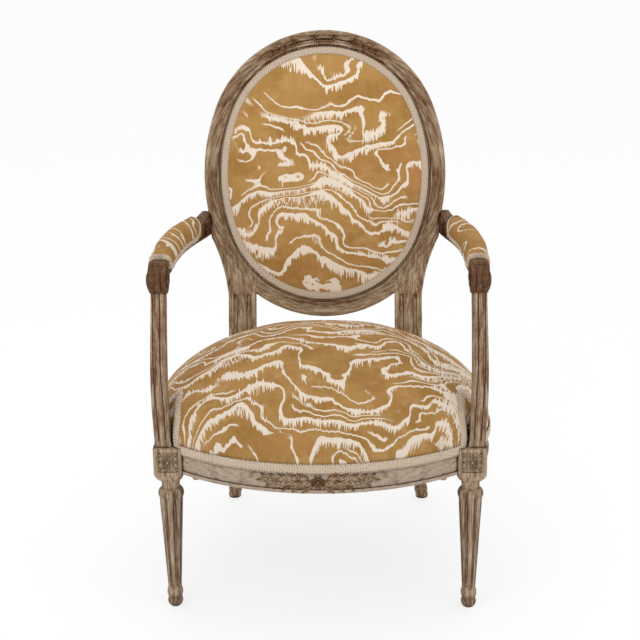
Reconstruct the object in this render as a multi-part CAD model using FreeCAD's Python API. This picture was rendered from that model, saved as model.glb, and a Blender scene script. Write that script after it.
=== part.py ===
import FreeCAD, Part
import math
import os

os.makedirs("parts", exist_ok=True)

# An open armchair with a turned and fluted frame, an oval back and a round sprung seat.
# Millimetres, X to the viewer's right, Y from front to back, Z up from the floor.
# Sizes count from the middle between the two front legs; the end of the file moves the
# whole chair so that its origin lies under the middle of its box.

# Front legs
front_leg_x = 266.0
block_width = 53.0
block_top = 311.0
block_foot = 249.0
block_square = 262.0
block_ease = 6.5
panel_margin = 6.0
panel_depth = 1.4
panel_bottom = 268.0
foot_width = 14.0
foot_ball_width = 27.0
foot_ball_height = 18.0
foot_neck_width = 23.0
collar_width = 28.5
collar_height = 20.0
shaft_foot_width = 24.0
shaft_top_width = 41.5
shaft_gap = 1.5
ring_width = 45.5
ring_height = 19.0
neck_width = 32.0
neck_height = 4.0
flare_width = 38.0
flare_height = 13.0
flute_count = 8
flute_foot_radius = 2.3
flute_top_radius = 4.3
flute_depth = 2.4
flute_end_gap = 9.0

# Seat rails in plan
rail_bottom = 264.0
rail_top = block_top
tack_line = 302.0
rail_thickness = 28.0
front_end_y = -26.0
front_bow = 86.0
side_reach = 308.5
side_radius = 318.0
side_centre_y = 133.0
rear_reach = 420.0
rear_radius = 728.0
front_corner_radius = 120.0
rear_corner_radius = 110.0
rail_bead = 6.0
rail_hollow = 2.2
rail_fillet = 4.0

# Joints of the seat frame
tenon_thickness = 9.0
tenon_length = 20.0
tenon_shoulder = 8.0
peg_width = 6.0
brace_thickness = 24.0
brace_height = 34.0
brace_notch_wood = 11.0
brace_front_aim_y = 220.0
screw_width = 4.5
screw_head_width = 9.0
screw_head_height = 3.0
screw_length = 38.0

# Back, in its own leaning plane
lean = 12.5
oval_centre_y = 475.0
oval_centre_z = 716.5
oval_half_width = 245.0
oval_half_height = 290.0
oval_end_radius = 235.0
oval_thickness = 28.0
oval_width = 50.0
bead_width = 12.0
bead_rise = 4.0
hollow_width = 13.0
hollow_depth = 4.2
ridge_width = 5.2
ridge_rise = 2.4
moulding_level = 3.6
rebate_depth = 6.5
rebate_back = 22.5
back_ease = 4.0

# Rear legs and posts
post_inner_x = 142.0
post_outer_x = 197.0
post_front = 3.0
post_thickness = 28.0
post_bend_low = -245.0
post_bend_mid_x = 206.0
post_bend_mid = -195.0
post_arm_x = 231.0
post_arm = -128.0
post_merge_x = 238.0
post_merge = -70.0
post_inside_x = 215.0
post_inside = -60.0
post_inner_top = -205.0
post_groove_width = 9.0
post_groove_depth = 2.2
post_groove_margin = 14.0
rear_block_front_y = 372.0
rear_block_depth = 46.0
rear_block_top = 322.0
rear_foot_x = 205.0
rear_foot_y = 512.0
joint_dowel_width = 9.0
joint_dowel_length = 44.0

# Arms
arm_reach = 478.0
arm_spread = 282.0
arm_under = 606.0
arm_under_fall = 12.0
arm_lip = 6.0
arm_wood_height = 26.0
arm_half_width = 19.0
arm_end_rise = 20.0
arm_corner = 3.0
arm_step = 2.6
scroll_y = 24.0
scroll_z = 608.0
scroll_radius = 28.0
scroll_width = 30.0
volute_radius = 18.0
volute_rise = 2.0
eye_radius = 6.5
eye_rise = 1.5
stump_width = 28.0
stump_depth = 30.0
stump_foot_x = 275.0
stump_top_y = 24.0
stump_swell = 6.0
stump_top = 600.0
stump_corner = 5.0
stump_tenon = 14.0
stump_tenon_length = 16.0

# Upholstery
clearance = 0.3
cloth = 2.0
thin_cloth = 1.2
gimp_width = 13.0
gimp_thickness = 2.5
rail_rebate = 2.5
seat_middle_y = 158.0
seat_edge = 326.0
seat_crown = 480.0
spring_crown = 392.0
spring_margin = 10.0
stump_gap = 1.0
notch_back = 22.0
dome_angles = (0.0, 14.0, 28.0, 42.0, 56.0, 69.0, 81.0)
web_width = 50.0
web_thickness = 1.3
web_step = 98.0
long_web_count = 5
cross_web_count = 4
web_inset = 7.0
lining_inset = 12.0
spring_radius = 34.0
spring_wire = 3.6
spring_turns = 5
back_crown = 27.0
back_web_step = 84.0
upright_back_web_count = 3
level_back_web_count = 5
pad_front_share = 0.1
pad_back_share = 0.8
pad_height = 48.0
pad_side = 16.0
tack_head_width = 7.0
tack_head_height = 1.0
tack_width = 2.0
tack_length = 9.0
tack_clear = 18.0
cover_tack_count = 40
lining_tack_count = 28
back_tack_count = 30
web_tack_spread = 12.0
rail_tack_inset = 22.0
overrun = 5.0
far = 400.0
nearness = 0.01
slope_share = 0.02

V = FreeCAD.Vector
across = V(1, 0, 0)
backward = V(0, 1, 0)
upward = V(0, 0, 1)
zero = V(0, 0, 0)


# Helpers

def line(a, b):
    return Part.LineSegment(a, b).toShape()


def curve(a, b, c):
    return Part.Arc(a, b, c).toShape()


def box(low, high):
    size = high.sub(low)
    return Part.makeBox(size.x, size.y, size.z, low)


def prism(wire, direction):
    return Part.Face(wire).extrude(direction)


def polygon(points):
    return Part.makePolygon(list(points) + [points[0]])


def mirrored(shape):
    return shape.mirror(zero, across)


def biggest(shape):
    return max(shape.Solids, key=lambda solid: solid.Volume)


def joined(first, *others):
    return first.fuse(list(others)).removeSplitter()


def rod(start, direction, width, length):
    return Part.makeCylinder(width / 2, length, start, direction)


def rounded_rectangle(width, depth, corner, height):
    """A closed wire at a height, centred on the axis."""
    x, y = width / 2, depth / 2
    bend = corner * (1 - math.sqrt(0.5))
    edges = []
    for sx, sy in ((1, 1), (-1, 1), (-1, -1), (1, -1)):
        side = V(sx * x, sy * (y - corner), height)
        end = V(sx * (x - corner), sy * y, height)
        middle = V(sx * (x - bend), sy * (y - bend), height)
        edges.append((side, middle, end) if sx * sy > 0 else (end, middle, side))
    wire = []
    for index, (start, middle, end) in enumerate(edges):
        wire.append(curve(start, middle, end))
        wire.append(line(end, edges[(index + 1) % len(edges)][0]))
    return Part.Wire(wire)


def leaned(shape):
    """Takes a piece from the flat plane of the back to its place on the chair."""
    placed = shape.copy()
    placed.rotate(zero, across, -lean)
    placed.translate(V(0, oval_centre_y, oval_centre_z))
    return placed


# The seat's outline: eight arcs that meet without a corner

def corner_middle(first, first_radius, second, second_radius, radius):
    """The middle of the round that joins two circles from inside, on the right."""
    a, b = first_radius - radius, second_radius - radius
    step = second.sub(first)
    along = (a * a - b * b + step.Length ** 2) / (2 * step.Length)
    aside = math.sqrt(a * a - along * along)
    unit = V(step).normalize()
    right = V(-unit.y, unit.x, 0)
    if right.x < 0:
        right = right * -1
    return first + unit * along + right * aside


front_half_chord = front_leg_x - block_width / 2
front_radius = (front_half_chord ** 2 + front_bow ** 2) / (2 * front_bow)
front_centre = V(0, front_end_y - front_bow + front_radius, 0)
side_centre = V(side_reach - side_radius, side_centre_y, 0)
rear_centre = V(0, rear_reach - rear_radius, 0)
front_corner = corner_middle(front_centre, front_radius, side_centre, side_radius, front_corner_radius)
rear_corner = corner_middle(side_centre, side_radius, rear_centre, rear_radius, rear_corner_radius)


def heading(start, end):
    return math.atan2(end.y - start.y, end.x - start.x)


front_turn = heading(front_centre, front_corner)
side_turn_low = heading(side_centre, front_corner)
side_turn_high = heading(side_centre, rear_corner)
rear_turn = heading(rear_centre, rear_corner)


def arc_at(centre, radius, start, end, height, share=1.0, turned=False):
    """An arc by its angles, drawn in towards the seat's middle by a share."""
    points = []
    for angle in (start, (start + end) / 2, end):
        x = centre.x + radius * math.cos(angle)
        y = centre.y + radius * math.sin(angle)
        x = -x if turned else x
        points.append(V(x * share, seat_middle_y + (y - seat_middle_y) * share, height))
    if turned:
        points.reverse()
    return curve(*points)


def seat_outline(offset, height, share=1.0):
    """The closed line round the seat, a distance outside the rails' outer face."""
    circles = ((front_corner, front_corner_radius, front_turn, side_turn_low),
               (side_centre, side_radius, side_turn_low, side_turn_high),
               (rear_corner, rear_corner_radius, side_turn_high, rear_turn))
    right = [arc_at(c, r + offset, a, b, height, share) for c, r, a, b in circles]
    left = [arc_at(c, r + offset, a, b, height, share, True) for c, r, a, b in reversed(circles)]
    front = arc_at(front_centre, front_radius + offset, -math.pi - front_turn, front_turn, height, share)
    rear = arc_at(rear_centre, rear_radius + offset, rear_turn, math.pi - rear_turn, height, share)
    return Part.Wire([front] + right + [rear] + left)


def seat_prism(offset, low, high):
    return prism(seat_outline(offset, low), V(0, 0, high - low))


def seat_dome(offset, low, edge, crown):
    """A seat-shaped solid: upright to its edge, then domed to its crown."""
    sections = []
    for angle in dome_angles:
        turn = math.radians(angle)
        height = edge + (crown - edge) * math.sin(turn)
        sections.append(seat_outline(offset, height, math.cos(turn)))
    return joined(seat_prism(offset, low, edge), Part.makeLoft(sections, True, False))


# The back's oval: four arcs, in the plane of the back

oval_side_radius = ((oval_half_width ** 2 + (oval_half_height - oval_end_radius) ** 2 - oval_end_radius ** 2)
                    / (2 * (oval_half_width - oval_end_radius)))
oval_side_middle = V(oval_half_width - oval_side_radius, 0, 0)
oval_end_middle = V(0, 0, oval_half_height - oval_end_radius)
oval_turn = math.atan2(oval_end_middle.z, -oval_side_middle.x)


def oval_outline(inset, depth, share=1.0):
    """The closed oval, a distance inside the frame's outer edge, at a depth."""
    side, end = oval_side_radius - inset, oval_end_radius - inset
    arcs = ((oval_side_middle, side, -oval_turn, oval_turn),
            (oval_end_middle, end, oval_turn, math.pi - oval_turn),
            (oval_side_middle * -1, side, math.pi - oval_turn, math.pi + oval_turn),
            (oval_end_middle * -1, end, math.pi + oval_turn, 2 * math.pi - oval_turn))
    edges = []
    for middle, radius, start, stop in arcs:
        points = []
        for angle in (start, (start + stop) / 2, stop):
            x = (middle.x + radius * math.cos(angle)) * share
            z = (middle.z + radius * math.sin(angle)) * share
            points.append(V(x, depth, z))
        edges.append(curve(*points))
    return Part.Wire(edges)


def oval_plate(inset, front, thickness):
    return prism(oval_outline(inset, front), V(0, thickness, 0))


def oval_band(outer, inner, front, thickness):
    return oval_plate(outer, front, thickness).cut(oval_plate(inner, front, thickness))


def oval_dome(inset, base, crown):
    """An oval cushion that swells forward from its base."""
    sections = []
    for angle in dome_angles:
        turn = math.radians(angle)
        sections.append(oval_outline(inset, base - crown * math.sin(turn), math.cos(turn)))
    return Part.makeLoft(sections, True, False)


def oval_section(middle, radius, angle):
    """The moulded section of the oval frame, standing at an angle round an arc."""
    def at(inset, depth):
        reach = radius - inset
        return V(middle.x + reach * math.cos(angle), depth, middle.z + reach * math.sin(angle))

    level = moulding_level
    hollow_end = bead_width + hollow_width
    first_ridge = hollow_end + ridge_width
    second_ridge = first_ridge + ridge_width
    ease = back_ease * (1 - math.sqrt(0.5))
    edges = [
        curve(at(0, level + bead_rise), at(bead_width / 4, level - bead_rise / 2), at(bead_width, level)),
        curve(at(bead_width, level), at(bead_width + hollow_width / 2, level + hollow_depth), at(hollow_end, level)),
        curve(at(hollow_end, level), at(hollow_end + ridge_width / 2, level - ridge_rise), at(first_ridge, level)),
        curve(at(first_ridge, level), at(first_ridge + ridge_width / 2, level - ridge_rise / 2),
              at(second_ridge, level)),
        line(at(second_ridge, level), at(second_ridge, rebate_depth)),
        line(at(second_ridge, rebate_depth), at(oval_width, rebate_depth)),
        line(at(oval_width, rebate_depth), at(oval_width, rebate_back)),
        line(at(oval_width, rebate_back), at(second_ridge, rebate_back)),
        line(at(second_ridge, rebate_back), at(second_ridge, oval_thickness)),
        line(at(second_ridge, oval_thickness), at(back_ease, oval_thickness)),
        curve(at(back_ease, oval_thickness), at(ease, oval_thickness - ease), at(0, oval_thickness - back_ease)),
        line(at(0, oval_thickness - back_ease), at(0, level + bead_rise)),
    ]
    return Part.Face(Part.Wire(edges))


def oval_piece(middle, radius, start, stop):
    section = oval_section(middle, radius, start)
    return section.revolve(middle, V(0, -1, 0), math.degrees(stop - start))


gimp_outer = bead_width + hollow_width + 2 * ridge_width + clearance
gimp_inner = gimp_outer + gimp_width
cover_edge = gimp_outer + clearance
dome_inset = gimp_inner + clearance


# Front legs

def turned_leg(length):
    """A turned and fluted leg that stands on the origin."""
    flare_foot = length - flare_height
    ring_top = flare_foot - neck_height
    ring_foot = ring_top - ring_height
    shaft_top = ring_foot - shaft_gap
    collar_foot = foot_ball_height
    collar_top = collar_foot + collar_height

    def at(width, height):
        return V(width / 2, 0, height)

    edges = [
        line(zero, at(foot_width, 0)),
        curve(at(foot_width, 0), at(foot_ball_width, foot_ball_height / 2), at(foot_neck_width, collar_foot)),
        curve(at(foot_neck_width, collar_foot), at(collar_width, collar_foot + collar_height / 2),
              at(shaft_foot_width, collar_top)),
        line(at(shaft_foot_width, collar_top), at(shaft_top_width, shaft_top)),
        line(at(shaft_top_width, shaft_top), at(shaft_top_width, ring_foot)),
        curve(at(shaft_top_width, ring_foot), at(ring_width, (ring_foot + ring_top) / 2), at(neck_width, ring_top)),
        line(at(neck_width, ring_top), at(neck_width, flare_foot)),
        curve(at(neck_width, flare_foot), at((neck_width + flare_width) / 2 - shaft_gap, length - flare_height / 2),
              at(flare_width, length)),
        line(at(flare_width, length), V(0, 0, length)),
        line(V(0, 0, length), zero),
    ]
    leg = Part.Face(Part.Wire(edges)).revolve(zero, upward, 360)
    low, high = collar_top + flute_end_gap / 2, shaft_top - flute_end_gap
    flutes = []
    for index in range(flute_count):
        reach_low = shaft_foot_width / 2 + flute_foot_radius - flute_depth / 2
        reach_high = shaft_top_width / 2 + flute_top_radius - flute_depth
        foot, head = V(reach_low, 0, low), V(reach_high, 0, high)
        run = head.sub(foot)
        flute = Part.makeCone(flute_foot_radius, flute_top_radius, run.Length, foot, run)
        flute = flute.fuse([Part.makeSphere(flute_top_radius, head)])
        flute.rotate(zero, upward, 360 / flute_count * (index + 0.5) - 90)
        flutes.append(flute)
    return leg.cut(flutes)


def front_leg_blank():
    """The right front leg before its joints are cut."""
    leg = turned_leg(block_foot)
    half = block_width / 2
    lower = Part.makeLoft([rounded_rectangle(flare_width, flare_width, block_ease, block_foot),
                           rounded_rectangle(block_width - block_ease / 2, block_width - block_ease / 2,
                                             block_ease, (block_foot + 2 * block_square) / 3),
                           rounded_rectangle(block_width, block_width, block_ease, block_square)], True, False)
    upper = prism(rounded_rectangle(block_width, block_width, block_ease, block_square),
                  V(0, 0, block_top - block_square))
    leg = joined(leg, lower, upper)
    reach = half - block_ease - panel_margin / 2
    front = box(V(-reach, -half - overrun, panel_bottom), V(reach, -half + panel_depth, block_top - panel_margin))
    outer = box(V(half - panel_depth, -reach, panel_bottom), V(half + overrun, reach, block_top - panel_margin))
    leg = leg.cut([front, outer])
    leg.translate(V(front_leg_x, 0, 0))
    return leg


# Rear legs, each in one piece with its post and its side of the oval

def post_outline(depth):
    low = (block_foot - oval_centre_z) / math.cos(math.radians(lean))
    edges = [
        line(V(post_inner_x, depth, low), V(post_outer_x, depth, low)),
        line(V(post_outer_x, depth, low), V(post_outer_x, depth, post_bend_low)),
        curve(V(post_outer_x, depth, post_bend_low), V(post_bend_mid_x, depth, post_bend_mid),
              V(post_arm_x, depth, post_arm)),
        line(V(post_arm_x, depth, post_arm), V(post_merge_x, depth, post_merge)),
        line(V(post_merge_x, depth, post_merge), V(post_inside_x, depth, post_inside)),
        line(V(post_inside_x, depth, post_inside), V(post_inner_x, depth, post_inner_top)),
        line(V(post_inner_x, depth, post_inner_top), V(post_inner_x, depth, low)),
    ]
    return Part.Wire(edges)


def rear_leg_blank():
    """The right rear leg before its joints are cut."""
    post = prism(post_outline(post_front), V(0, post_thickness, 0))
    post = post.cut(oval_plate(back_ease, -post_thickness, far))
    groove_x = (post_inner_x + post_groove_margin, post_outer_x - post_groove_margin)
    for x in groove_x:
        post = post.cut(box(V(x - post_groove_width / 2, post_front - overrun, -oval_centre_z),
                            V(x + post_groove_width / 2, post_front + post_groove_depth, post_bend_low)))
    side = oval_piece(oval_side_middle, oval_side_radius, -oval_turn, oval_turn)
    low = oval_piece(oval_end_middle * -1, oval_end_radius, -math.pi / 2, -oval_turn)
    low = low.common(box(V(post_inner_x, -far, -far), V(far, far, far)))
    upper = leaned(joined(post, side, low))
    block = box(V(post_inner_x, rear_block_front_y, block_foot),
                V(post_outer_x, rear_block_front_y + rear_block_depth, rear_block_top))
    top = V((post_inner_x + post_outer_x) / 2, rear_block_front_y + rear_block_depth / 2, block_foot + overrun)
    foot = V(rear_foot_x, rear_foot_y, 0)
    run = top.sub(foot)
    extra = foot_ball_height / 4
    leg = turned_leg(run.Length + extra)
    leg.translate(V(0, 0, -extra))
    turn = FreeCAD.Rotation(upward, run)
    leg.Placement = FreeCAD.Placement(foot, turn).multiply(leg.Placement)
    leg = leg.cut(box(V(-far, -far, -far), V(far, 2 * far, 0)))
    upper = upper.cut(box(V(0, 0, 0), V(far, 2 * far, block_foot)))
    return joined(upper, block, leg)


# Seat rails

def rail_band():
    """All four rails in one, with the show moulding and the rebate for the cloth."""
    band = seat_prism(0, rail_bottom, rail_top).cut(seat_prism(-rail_thickness, rail_bottom, rail_top))
    rebate = seat_prism(overrun, tack_line, rail_top).cut(seat_prism(-rail_rebate, tack_line, rail_top))
    face_low, face_high = rail_bottom + rail_bead, tack_line - rail_fillet
    hollow = seat_prism(overrun, face_low, face_high).cut(seat_prism(-rail_hollow, face_low, face_high))
    return band.cut([rebate, hollow])


def tenon(start, direction, length, low, high):
    """An upright tongue that runs level from a point."""
    unit = V(direction).normalize()
    side = V(-unit.y, unit.x, 0) * (tenon_thickness / 2)
    run = unit * length
    base = V(start.x, start.y, low)
    corners = [base + side, base - side, base - side + run, base + side + run]
    return prism(polygon(corners), V(0, 0, high - low))


def seat_rails(front_legs, rear_legs):
    band = rail_band().cut(front_legs + rear_legs)
    pieces = {}
    for solid in band.Solids:
        middle = solid.CenterOfMass
        if abs(middle.x) < block_width / 2:
            name = "front_rail" if middle.y < seat_middle_y else "rear_rail"
        else:
            name = "side_rail_right" if middle.x > 0 else "side_rail_left"
        if name not in pieces or solid.Volume > pieces[name].Volume:
            pieces[name] = solid
    low, high = rail_bottom + tenon_shoulder, tack_line - tenon_shoulder
    inner = front_leg_x - block_width / 2
    root = rail_thickness / 2
    front_y = front_end_y + rail_thickness / 2 + rail_rebate
    side_x = front_leg_x + block_width / 2 - rail_thickness / 2 - rail_rebate
    rear_y = rear_block_front_y + rail_thickness / 2
    corner_y = rear_block_front_y + tenon_thickness
    front = tenon(V(inner - root, front_y, 0), across, root + tenon_length, low, high)
    rear = tenon(V(post_inner_x - root, rear_y, 0), across, root + tenon_length, low, high)
    side_front = tenon(V(side_x, block_width / 2 + root, 0), V(0, -1, 0), root + tenon_length, low, high)
    side_rear = tenon(V(post_outer_x + root, corner_y, 0), V(-1, 0, 0), root + tenon_length / 2, low, high)
    pieces["front_rail"] = joined(pieces["front_rail"], front, mirrored(front))
    pieces["rear_rail"] = joined(pieces["rear_rail"], rear, mirrored(rear))
    pieces["side_rail_right"] = joined(pieces["side_rail_right"], side_front, side_rear)
    pieces["side_rail_left"] = mirrored(pieces["side_rail_right"])
    return pieces


def seat_pegs():
    """Pegs that lock the right-hand tenons."""
    low = rail_bottom + 2 * tenon_shoulder
    high = tack_line - 2 * tenon_shoulder
    inner = front_leg_x - block_width / 2 + tenon_length / 2
    front = rod(V(inner, block_width / 2, low), V(0, -1, 0), peg_width, block_width - block_ease)
    side_y = block_width / 2 - tenon_length / 2
    side = rod(V(front_leg_x - block_width / 2, side_y, high), across, peg_width, block_width - block_ease)
    rear_y = rear_block_front_y + rear_block_depth
    rear = rod(V(post_inner_x + tenon_length / 2, rear_y, low), V(0, -1, 0), peg_width, rear_block_depth - block_ease)
    return [front, side, rear]


def inner_face(start, unit, centre, radius):
    """The point where a line from start meets a rail's inner face."""
    ahead = centre.sub(start).dot(unit)
    aside = centre.sub(start).Length ** 2 - ahead ** 2
    return start + unit * (ahead + math.sqrt((radius - rail_thickness) ** 2 - aside))


def brace_ends():
    """The ends of the braces' open faces, with wood left in front of each block's inner corner."""
    ends = []
    arcs = ((front_centre, front_radius), (side_centre, side_radius), (rear_centre, rear_radius))
    corners = (V(front_leg_x - block_width / 2, block_width / 2, 0), V(post_inner_x, rear_block_front_y, 0))
    aims = (brace_front_aim_y, seat_middle_y)
    for corner, aim, start_arc, end_arc in zip(corners, aims, arcs, arcs[1:]):
        inward = V(0, aim, 0).sub(corner).normalize()
        middle = corner + inward * brace_notch_wood
        unit = V(inward.y, -inward.x, 0)
        ends.append((inner_face(middle, unit * -1, *start_arc), inner_face(middle, unit, *end_arc)))
    return ends


def corner_brace(ends):
    """A brace across an inner corner, between two points on the rails' inner face."""
    start, end = ends
    unit = end.sub(start).normalize()
    side = V(unit.y, -unit.x, 0)
    start, end = start - unit * brace_thickness * 2, end + unit * brace_thickness * 2
    corners = [start, end, end + side * brace_thickness, start + side * brace_thickness]
    low = rail_bottom + tenon_shoulder
    shape = prism(polygon([V(p.x, p.y, low) for p in corners]), V(0, 0, brace_height))
    return shape.common(seat_prism(-rail_thickness, low, low + brace_height))


def brace_screws(ends):
    """Two screws from a brace's open face into the rails."""
    start, end = ends
    unit = end.sub(start).normalize()
    into = V(unit.y, -unit.x, 0)
    screws = []
    for point, along in ((start, unit), (end, unit * -1)):
        height = rail_bottom + tenon_shoulder + brace_height / 2
        place = V(point.x, point.y, height) + along * screw_length
        head = rod(place, into, screw_head_width, screw_head_height)
        screws.append(joined(head, rod(place, into, screw_width, screw_length)))
    return screws


# Arms

arm_y_shares = (0.07, 0.15, 0.32, 0.52, 0.71, 0.85, 1.0)
arm_x_shares = (0.979, 0.985, 0.993, 0.982, 0.945, 0.9, 0.86)
arm_fall_shares = (0.0, 0.0, 0.05, 0.25, 0.5, 0.75, 1.0)
arm_width_shares = (0.8, 0.95, 1.02, 1.02, 1.0, 0.84, 0.62)
arm_rise_shares = (0.0, 0.0, 0.0, 0.0, 0.0, 0.38, 1.0)
pad_rise_shares = (0.9, 0.95, 1.0, 1.03, 1.02, 0.98, 0.94)
pad_end_shares = (0.98, 0.96)
stump_z_shares = (0.0, 0.04, 0.2, 0.45, 0.7, 1.0)
stump_y_shares = (0.0, 0.0, 0.06, 0.3, 0.65, 1.0)
stump_x_shares = (0.0, 0.15, 0.6, 0.8, 0.6, 0.2)
stump_flare_shares = (0.16, 0.0, 0.0, 0.0, -0.04, -0.08)


def between(shares, values, share):
    """Reads a table of shares between its entries."""
    for index in range(len(shares) - 1):
        if share <= shares[index + 1]:
            part = (share - shares[index]) / (shares[index + 1] - shares[index])
            return values[index] + (values[index + 1] - values[index]) * part
    return values[-1]


def arm_frame(share):
    """The middle of the arm's underside and the level direction across it."""
    x = arm_spread * between(arm_y_shares, arm_x_shares, share)
    z = arm_under - arm_under_fall * between(arm_y_shares, arm_fall_shares, share)
    ahead = arm_spread * between(arm_y_shares, arm_x_shares, min(share + slope_share, 1.0))
    behind = arm_spread * between(arm_y_shares, arm_x_shares, max(share - slope_share, arm_y_shares[0]))
    run = V(ahead - behind, arm_reach * 2 * slope_share, 0).normalize()
    return V(x, arm_reach * share, z), V(run.y, -run.x, 0)


def arm_section(share):
    middle, side = arm_frame(share)
    half = arm_half_width * between(arm_y_shares, arm_width_shares, share)
    top = arm_wood_height + arm_end_rise * between(arm_y_shares, arm_rise_shares, share)

    def at(reach, height):
        return middle + side * reach + upward * height

    bend = arm_corner * (1 - math.sqrt(0.5))
    inner = half - arm_step
    points = ((half, arm_lip), (inner, arm_lip), (inner, top), (-inner, top), (-inner, arm_lip), (-half, arm_lip))
    edges = [line(at(*a), at(*b)) for a, b in zip(points, points[1:])]
    edges.append(line(at(-half, arm_lip), at(-half, arm_corner)))
    edges.append(curve(at(-half, arm_corner), at(bend - half, bend), at(arm_corner - half, 0)))
    edges.append(line(at(arm_corner - half, 0), at(half - arm_corner, 0)))
    edges.append(curve(at(half - arm_corner, 0), at(half - bend, bend), at(half, arm_corner)))
    edges.append(line(at(half, arm_corner), at(half, arm_lip)))
    return Part.Wire(edges)


def arm_blank():
    """The right arm with its scroll, before its joints are cut."""
    rail = Part.makeLoft([arm_section(share) for share in arm_y_shares], True, False)
    x = arm_spread * arm_x_shares[0]
    start = V(x - scroll_width / 2, scroll_y, scroll_z)
    drum = rod(start, across, 2 * scroll_radius, scroll_width)
    volute = rod(start - across * volute_rise, across, 2 * volute_radius, scroll_width + 2 * volute_rise)
    reach = volute_rise + eye_rise
    eye = rod(start - across * reach, across, 2 * eye_radius, scroll_width + 2 * reach)
    return joined(rail, drum, volute, eye)


def stump_blank():
    """The right arm support, from the leg's block up into the scroll."""
    sections = []
    for height, back, swell, flare in zip(stump_z_shares, stump_y_shares, stump_x_shares, stump_flare_shares):
        grow = 1 + flare
        wire = rounded_rectangle(stump_width * grow, stump_depth * grow, stump_corner,
                                 block_top + (stump_top - block_top) * height)
        wire.translate(V(stump_foot_x + stump_swell * swell, stump_top_y * back, 0))
        sections.append(wire)
    stump = joined(Part.makeLoft(sections[:2], True, True), Part.makeLoft(sections[1:], True, False))
    foot = rod(V(stump_foot_x, 0, block_top), V(0, 0, -1), stump_tenon, stump_tenon_length)
    x = stump_foot_x + stump_swell * stump_x_shares[-1]
    head = rod(V(x, stump_top_y, stump_top - 2 * stump_tenon_length), upward, stump_tenon, 2 * stump_tenon_length)
    return stump, foot, head


def pad_section(share, inset, base, rise):
    middle, side = arm_frame(share)
    half = arm_half_width * between(arm_y_shares, arm_width_shares, share) - inset
    top = pad_height * between(arm_y_shares, pad_rise_shares, share) * rise - inset
    shoulder = min(arm_lip + pad_side, top - inset)

    def at(reach, height):
        return middle + side * reach + upward * height

    edges = [
        line(at(-half, base), at(half, base)),
        line(at(half, base), at(half, shoulder)),
        curve(at(half, shoulder), at(0, top), at(-half, shoulder)),
        line(at(-half, shoulder), at(-half, base)),
    ]
    return Part.Wire(edges)


def pad_solid(inset, base):
    """The arm pad's form, drawn in by an inset, down to a height above the arm's underside."""
    middle_shares = [share for share in arm_y_shares if pad_front_share < share < pad_back_share]
    short = inset / arm_reach
    shares = [pad_front_share + short] + middle_shares + [pad_back_share - short]
    rises = [pad_end_shares[0]] + [1] * len(middle_shares) + [pad_end_shares[1]]
    return Part.makeLoft([pad_section(s, inset, base, r) for s, r in zip(shares, rises)], True, False)


def arm_slab(low, high):
    """The level layer over the arm between two heights above its underside."""
    end = 2 * gimp_thickness / arm_reach
    sections = []
    for share in (pad_front_share - end,) + arm_y_shares[2:-2] + (pad_back_share + end,):
        middle, side = arm_frame(share)
        reach = 2 * arm_half_width
        corners = [middle - side * reach, middle + side * reach]
        low_side = [p + upward * low for p in corners]
        high_side = [p + upward * high for p in reversed(corners)]
        sections.append(polygon(low_side + high_side))
    return Part.makeLoft(sections, True, False)


def pad_stuffing():
    form = pad_solid(cloth + clearance, arm_lip)
    return form.common(arm_slab(arm_wood_height + clearance, 2 * pad_height))


def arm_gimp():
    """The braid round the lower edge of an arm pad."""
    low = arm_lip + clearance
    band = pad_solid(-gimp_thickness, low).cut([pad_solid(-clearance / 2, low - overrun)])
    front_y = arm_reach * pad_front_share + gimp_width
    back_y = arm_reach * pad_back_share - gimp_width
    front = box(V(0, front_y - far, 0), V(far, front_y, 2 * far))
    back = box(V(0, back_y, 0), V(far, back_y + far, 2 * far))
    ends = band.common(arm_slab(low, arm_wood_height + clearance + gimp_width)).common(joined(front, back))
    return joined(band.common(arm_slab(low, low + gimp_width)), ends)


# Upholstery of the seat

def post_room(gap):
    """The room that the seat leaves for the posts of the back and the blocks under them."""
    post = prism(polygon([V(post_inner_x - gap, post_front - gap, -2 * far),
                          V(post_outer_x + gap, post_front - gap, -2 * far),
                          V(post_outer_x + gap, post_front - gap, 0),
                          V(post_inner_x - gap, post_front - gap, 0)]), V(0, far, 0))
    block = box(V(post_inner_x - gap, rear_block_front_y - gap, 0),
                V(post_outer_x + gap, 2 * far, rear_block_top))
    pieces = [leaned(post), block]
    return pieces + [mirrored(piece) for piece in pieces]


def stump_notches(gap):
    """The room that the cloth and stuffing leave for the arm supports and posts."""
    inner = stump_foot_x - stump_width * (1 + stump_flare_shares[0]) / 2 - gap
    corner = box(V(inner, -far, 0), V(far, notch_back + gap, far + seat_crown))
    return [corner, mirrored(corner)] + post_room(gap)


def leg_room(gap):
    half = block_width / 2 + gap
    front = box(V(front_leg_x - half, -half, 0), V(front_leg_x + half, half, block_top + gap))
    return [front, mirrored(front)]


def seat_covering():
    room = stump_notches(stump_gap) + leg_room(clearance)
    skin = -rail_rebate + clearance
    low = tack_line + clearance
    outer = seat_dome(skin + cloth, low, seat_edge, seat_crown)
    inner = seat_dome(skin, low - overrun, seat_edge, seat_crown - cloth)
    cover = biggest(outer.cut([inner] + room))
    core = seat_dome(skin - clearance, rail_top + clearance, seat_edge, seat_crown - cloth - clearance)
    hollow = seat_dome(-spring_margin, rail_top - overrun, rail_top + clearance, spring_crown)
    stuffing = biggest(core.cut([hollow] + stump_notches(stump_gap + cloth) + leg_room(clearance)))
    canvas_top = seat_dome(-spring_margin - clearance, rail_top + clearance, rail_top + 2 * clearance,
                           spring_crown - clearance)
    canvas_low = seat_dome(-spring_margin - clearance - thin_cloth, rail_top - overrun, rail_top + clearance,
                           spring_crown - clearance - thin_cloth)
    canvas = biggest(canvas_top.cut([canvas_low] + stump_notches(stump_gap + cloth) + leg_room(clearance)))
    return cover, stuffing, canvas


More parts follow.
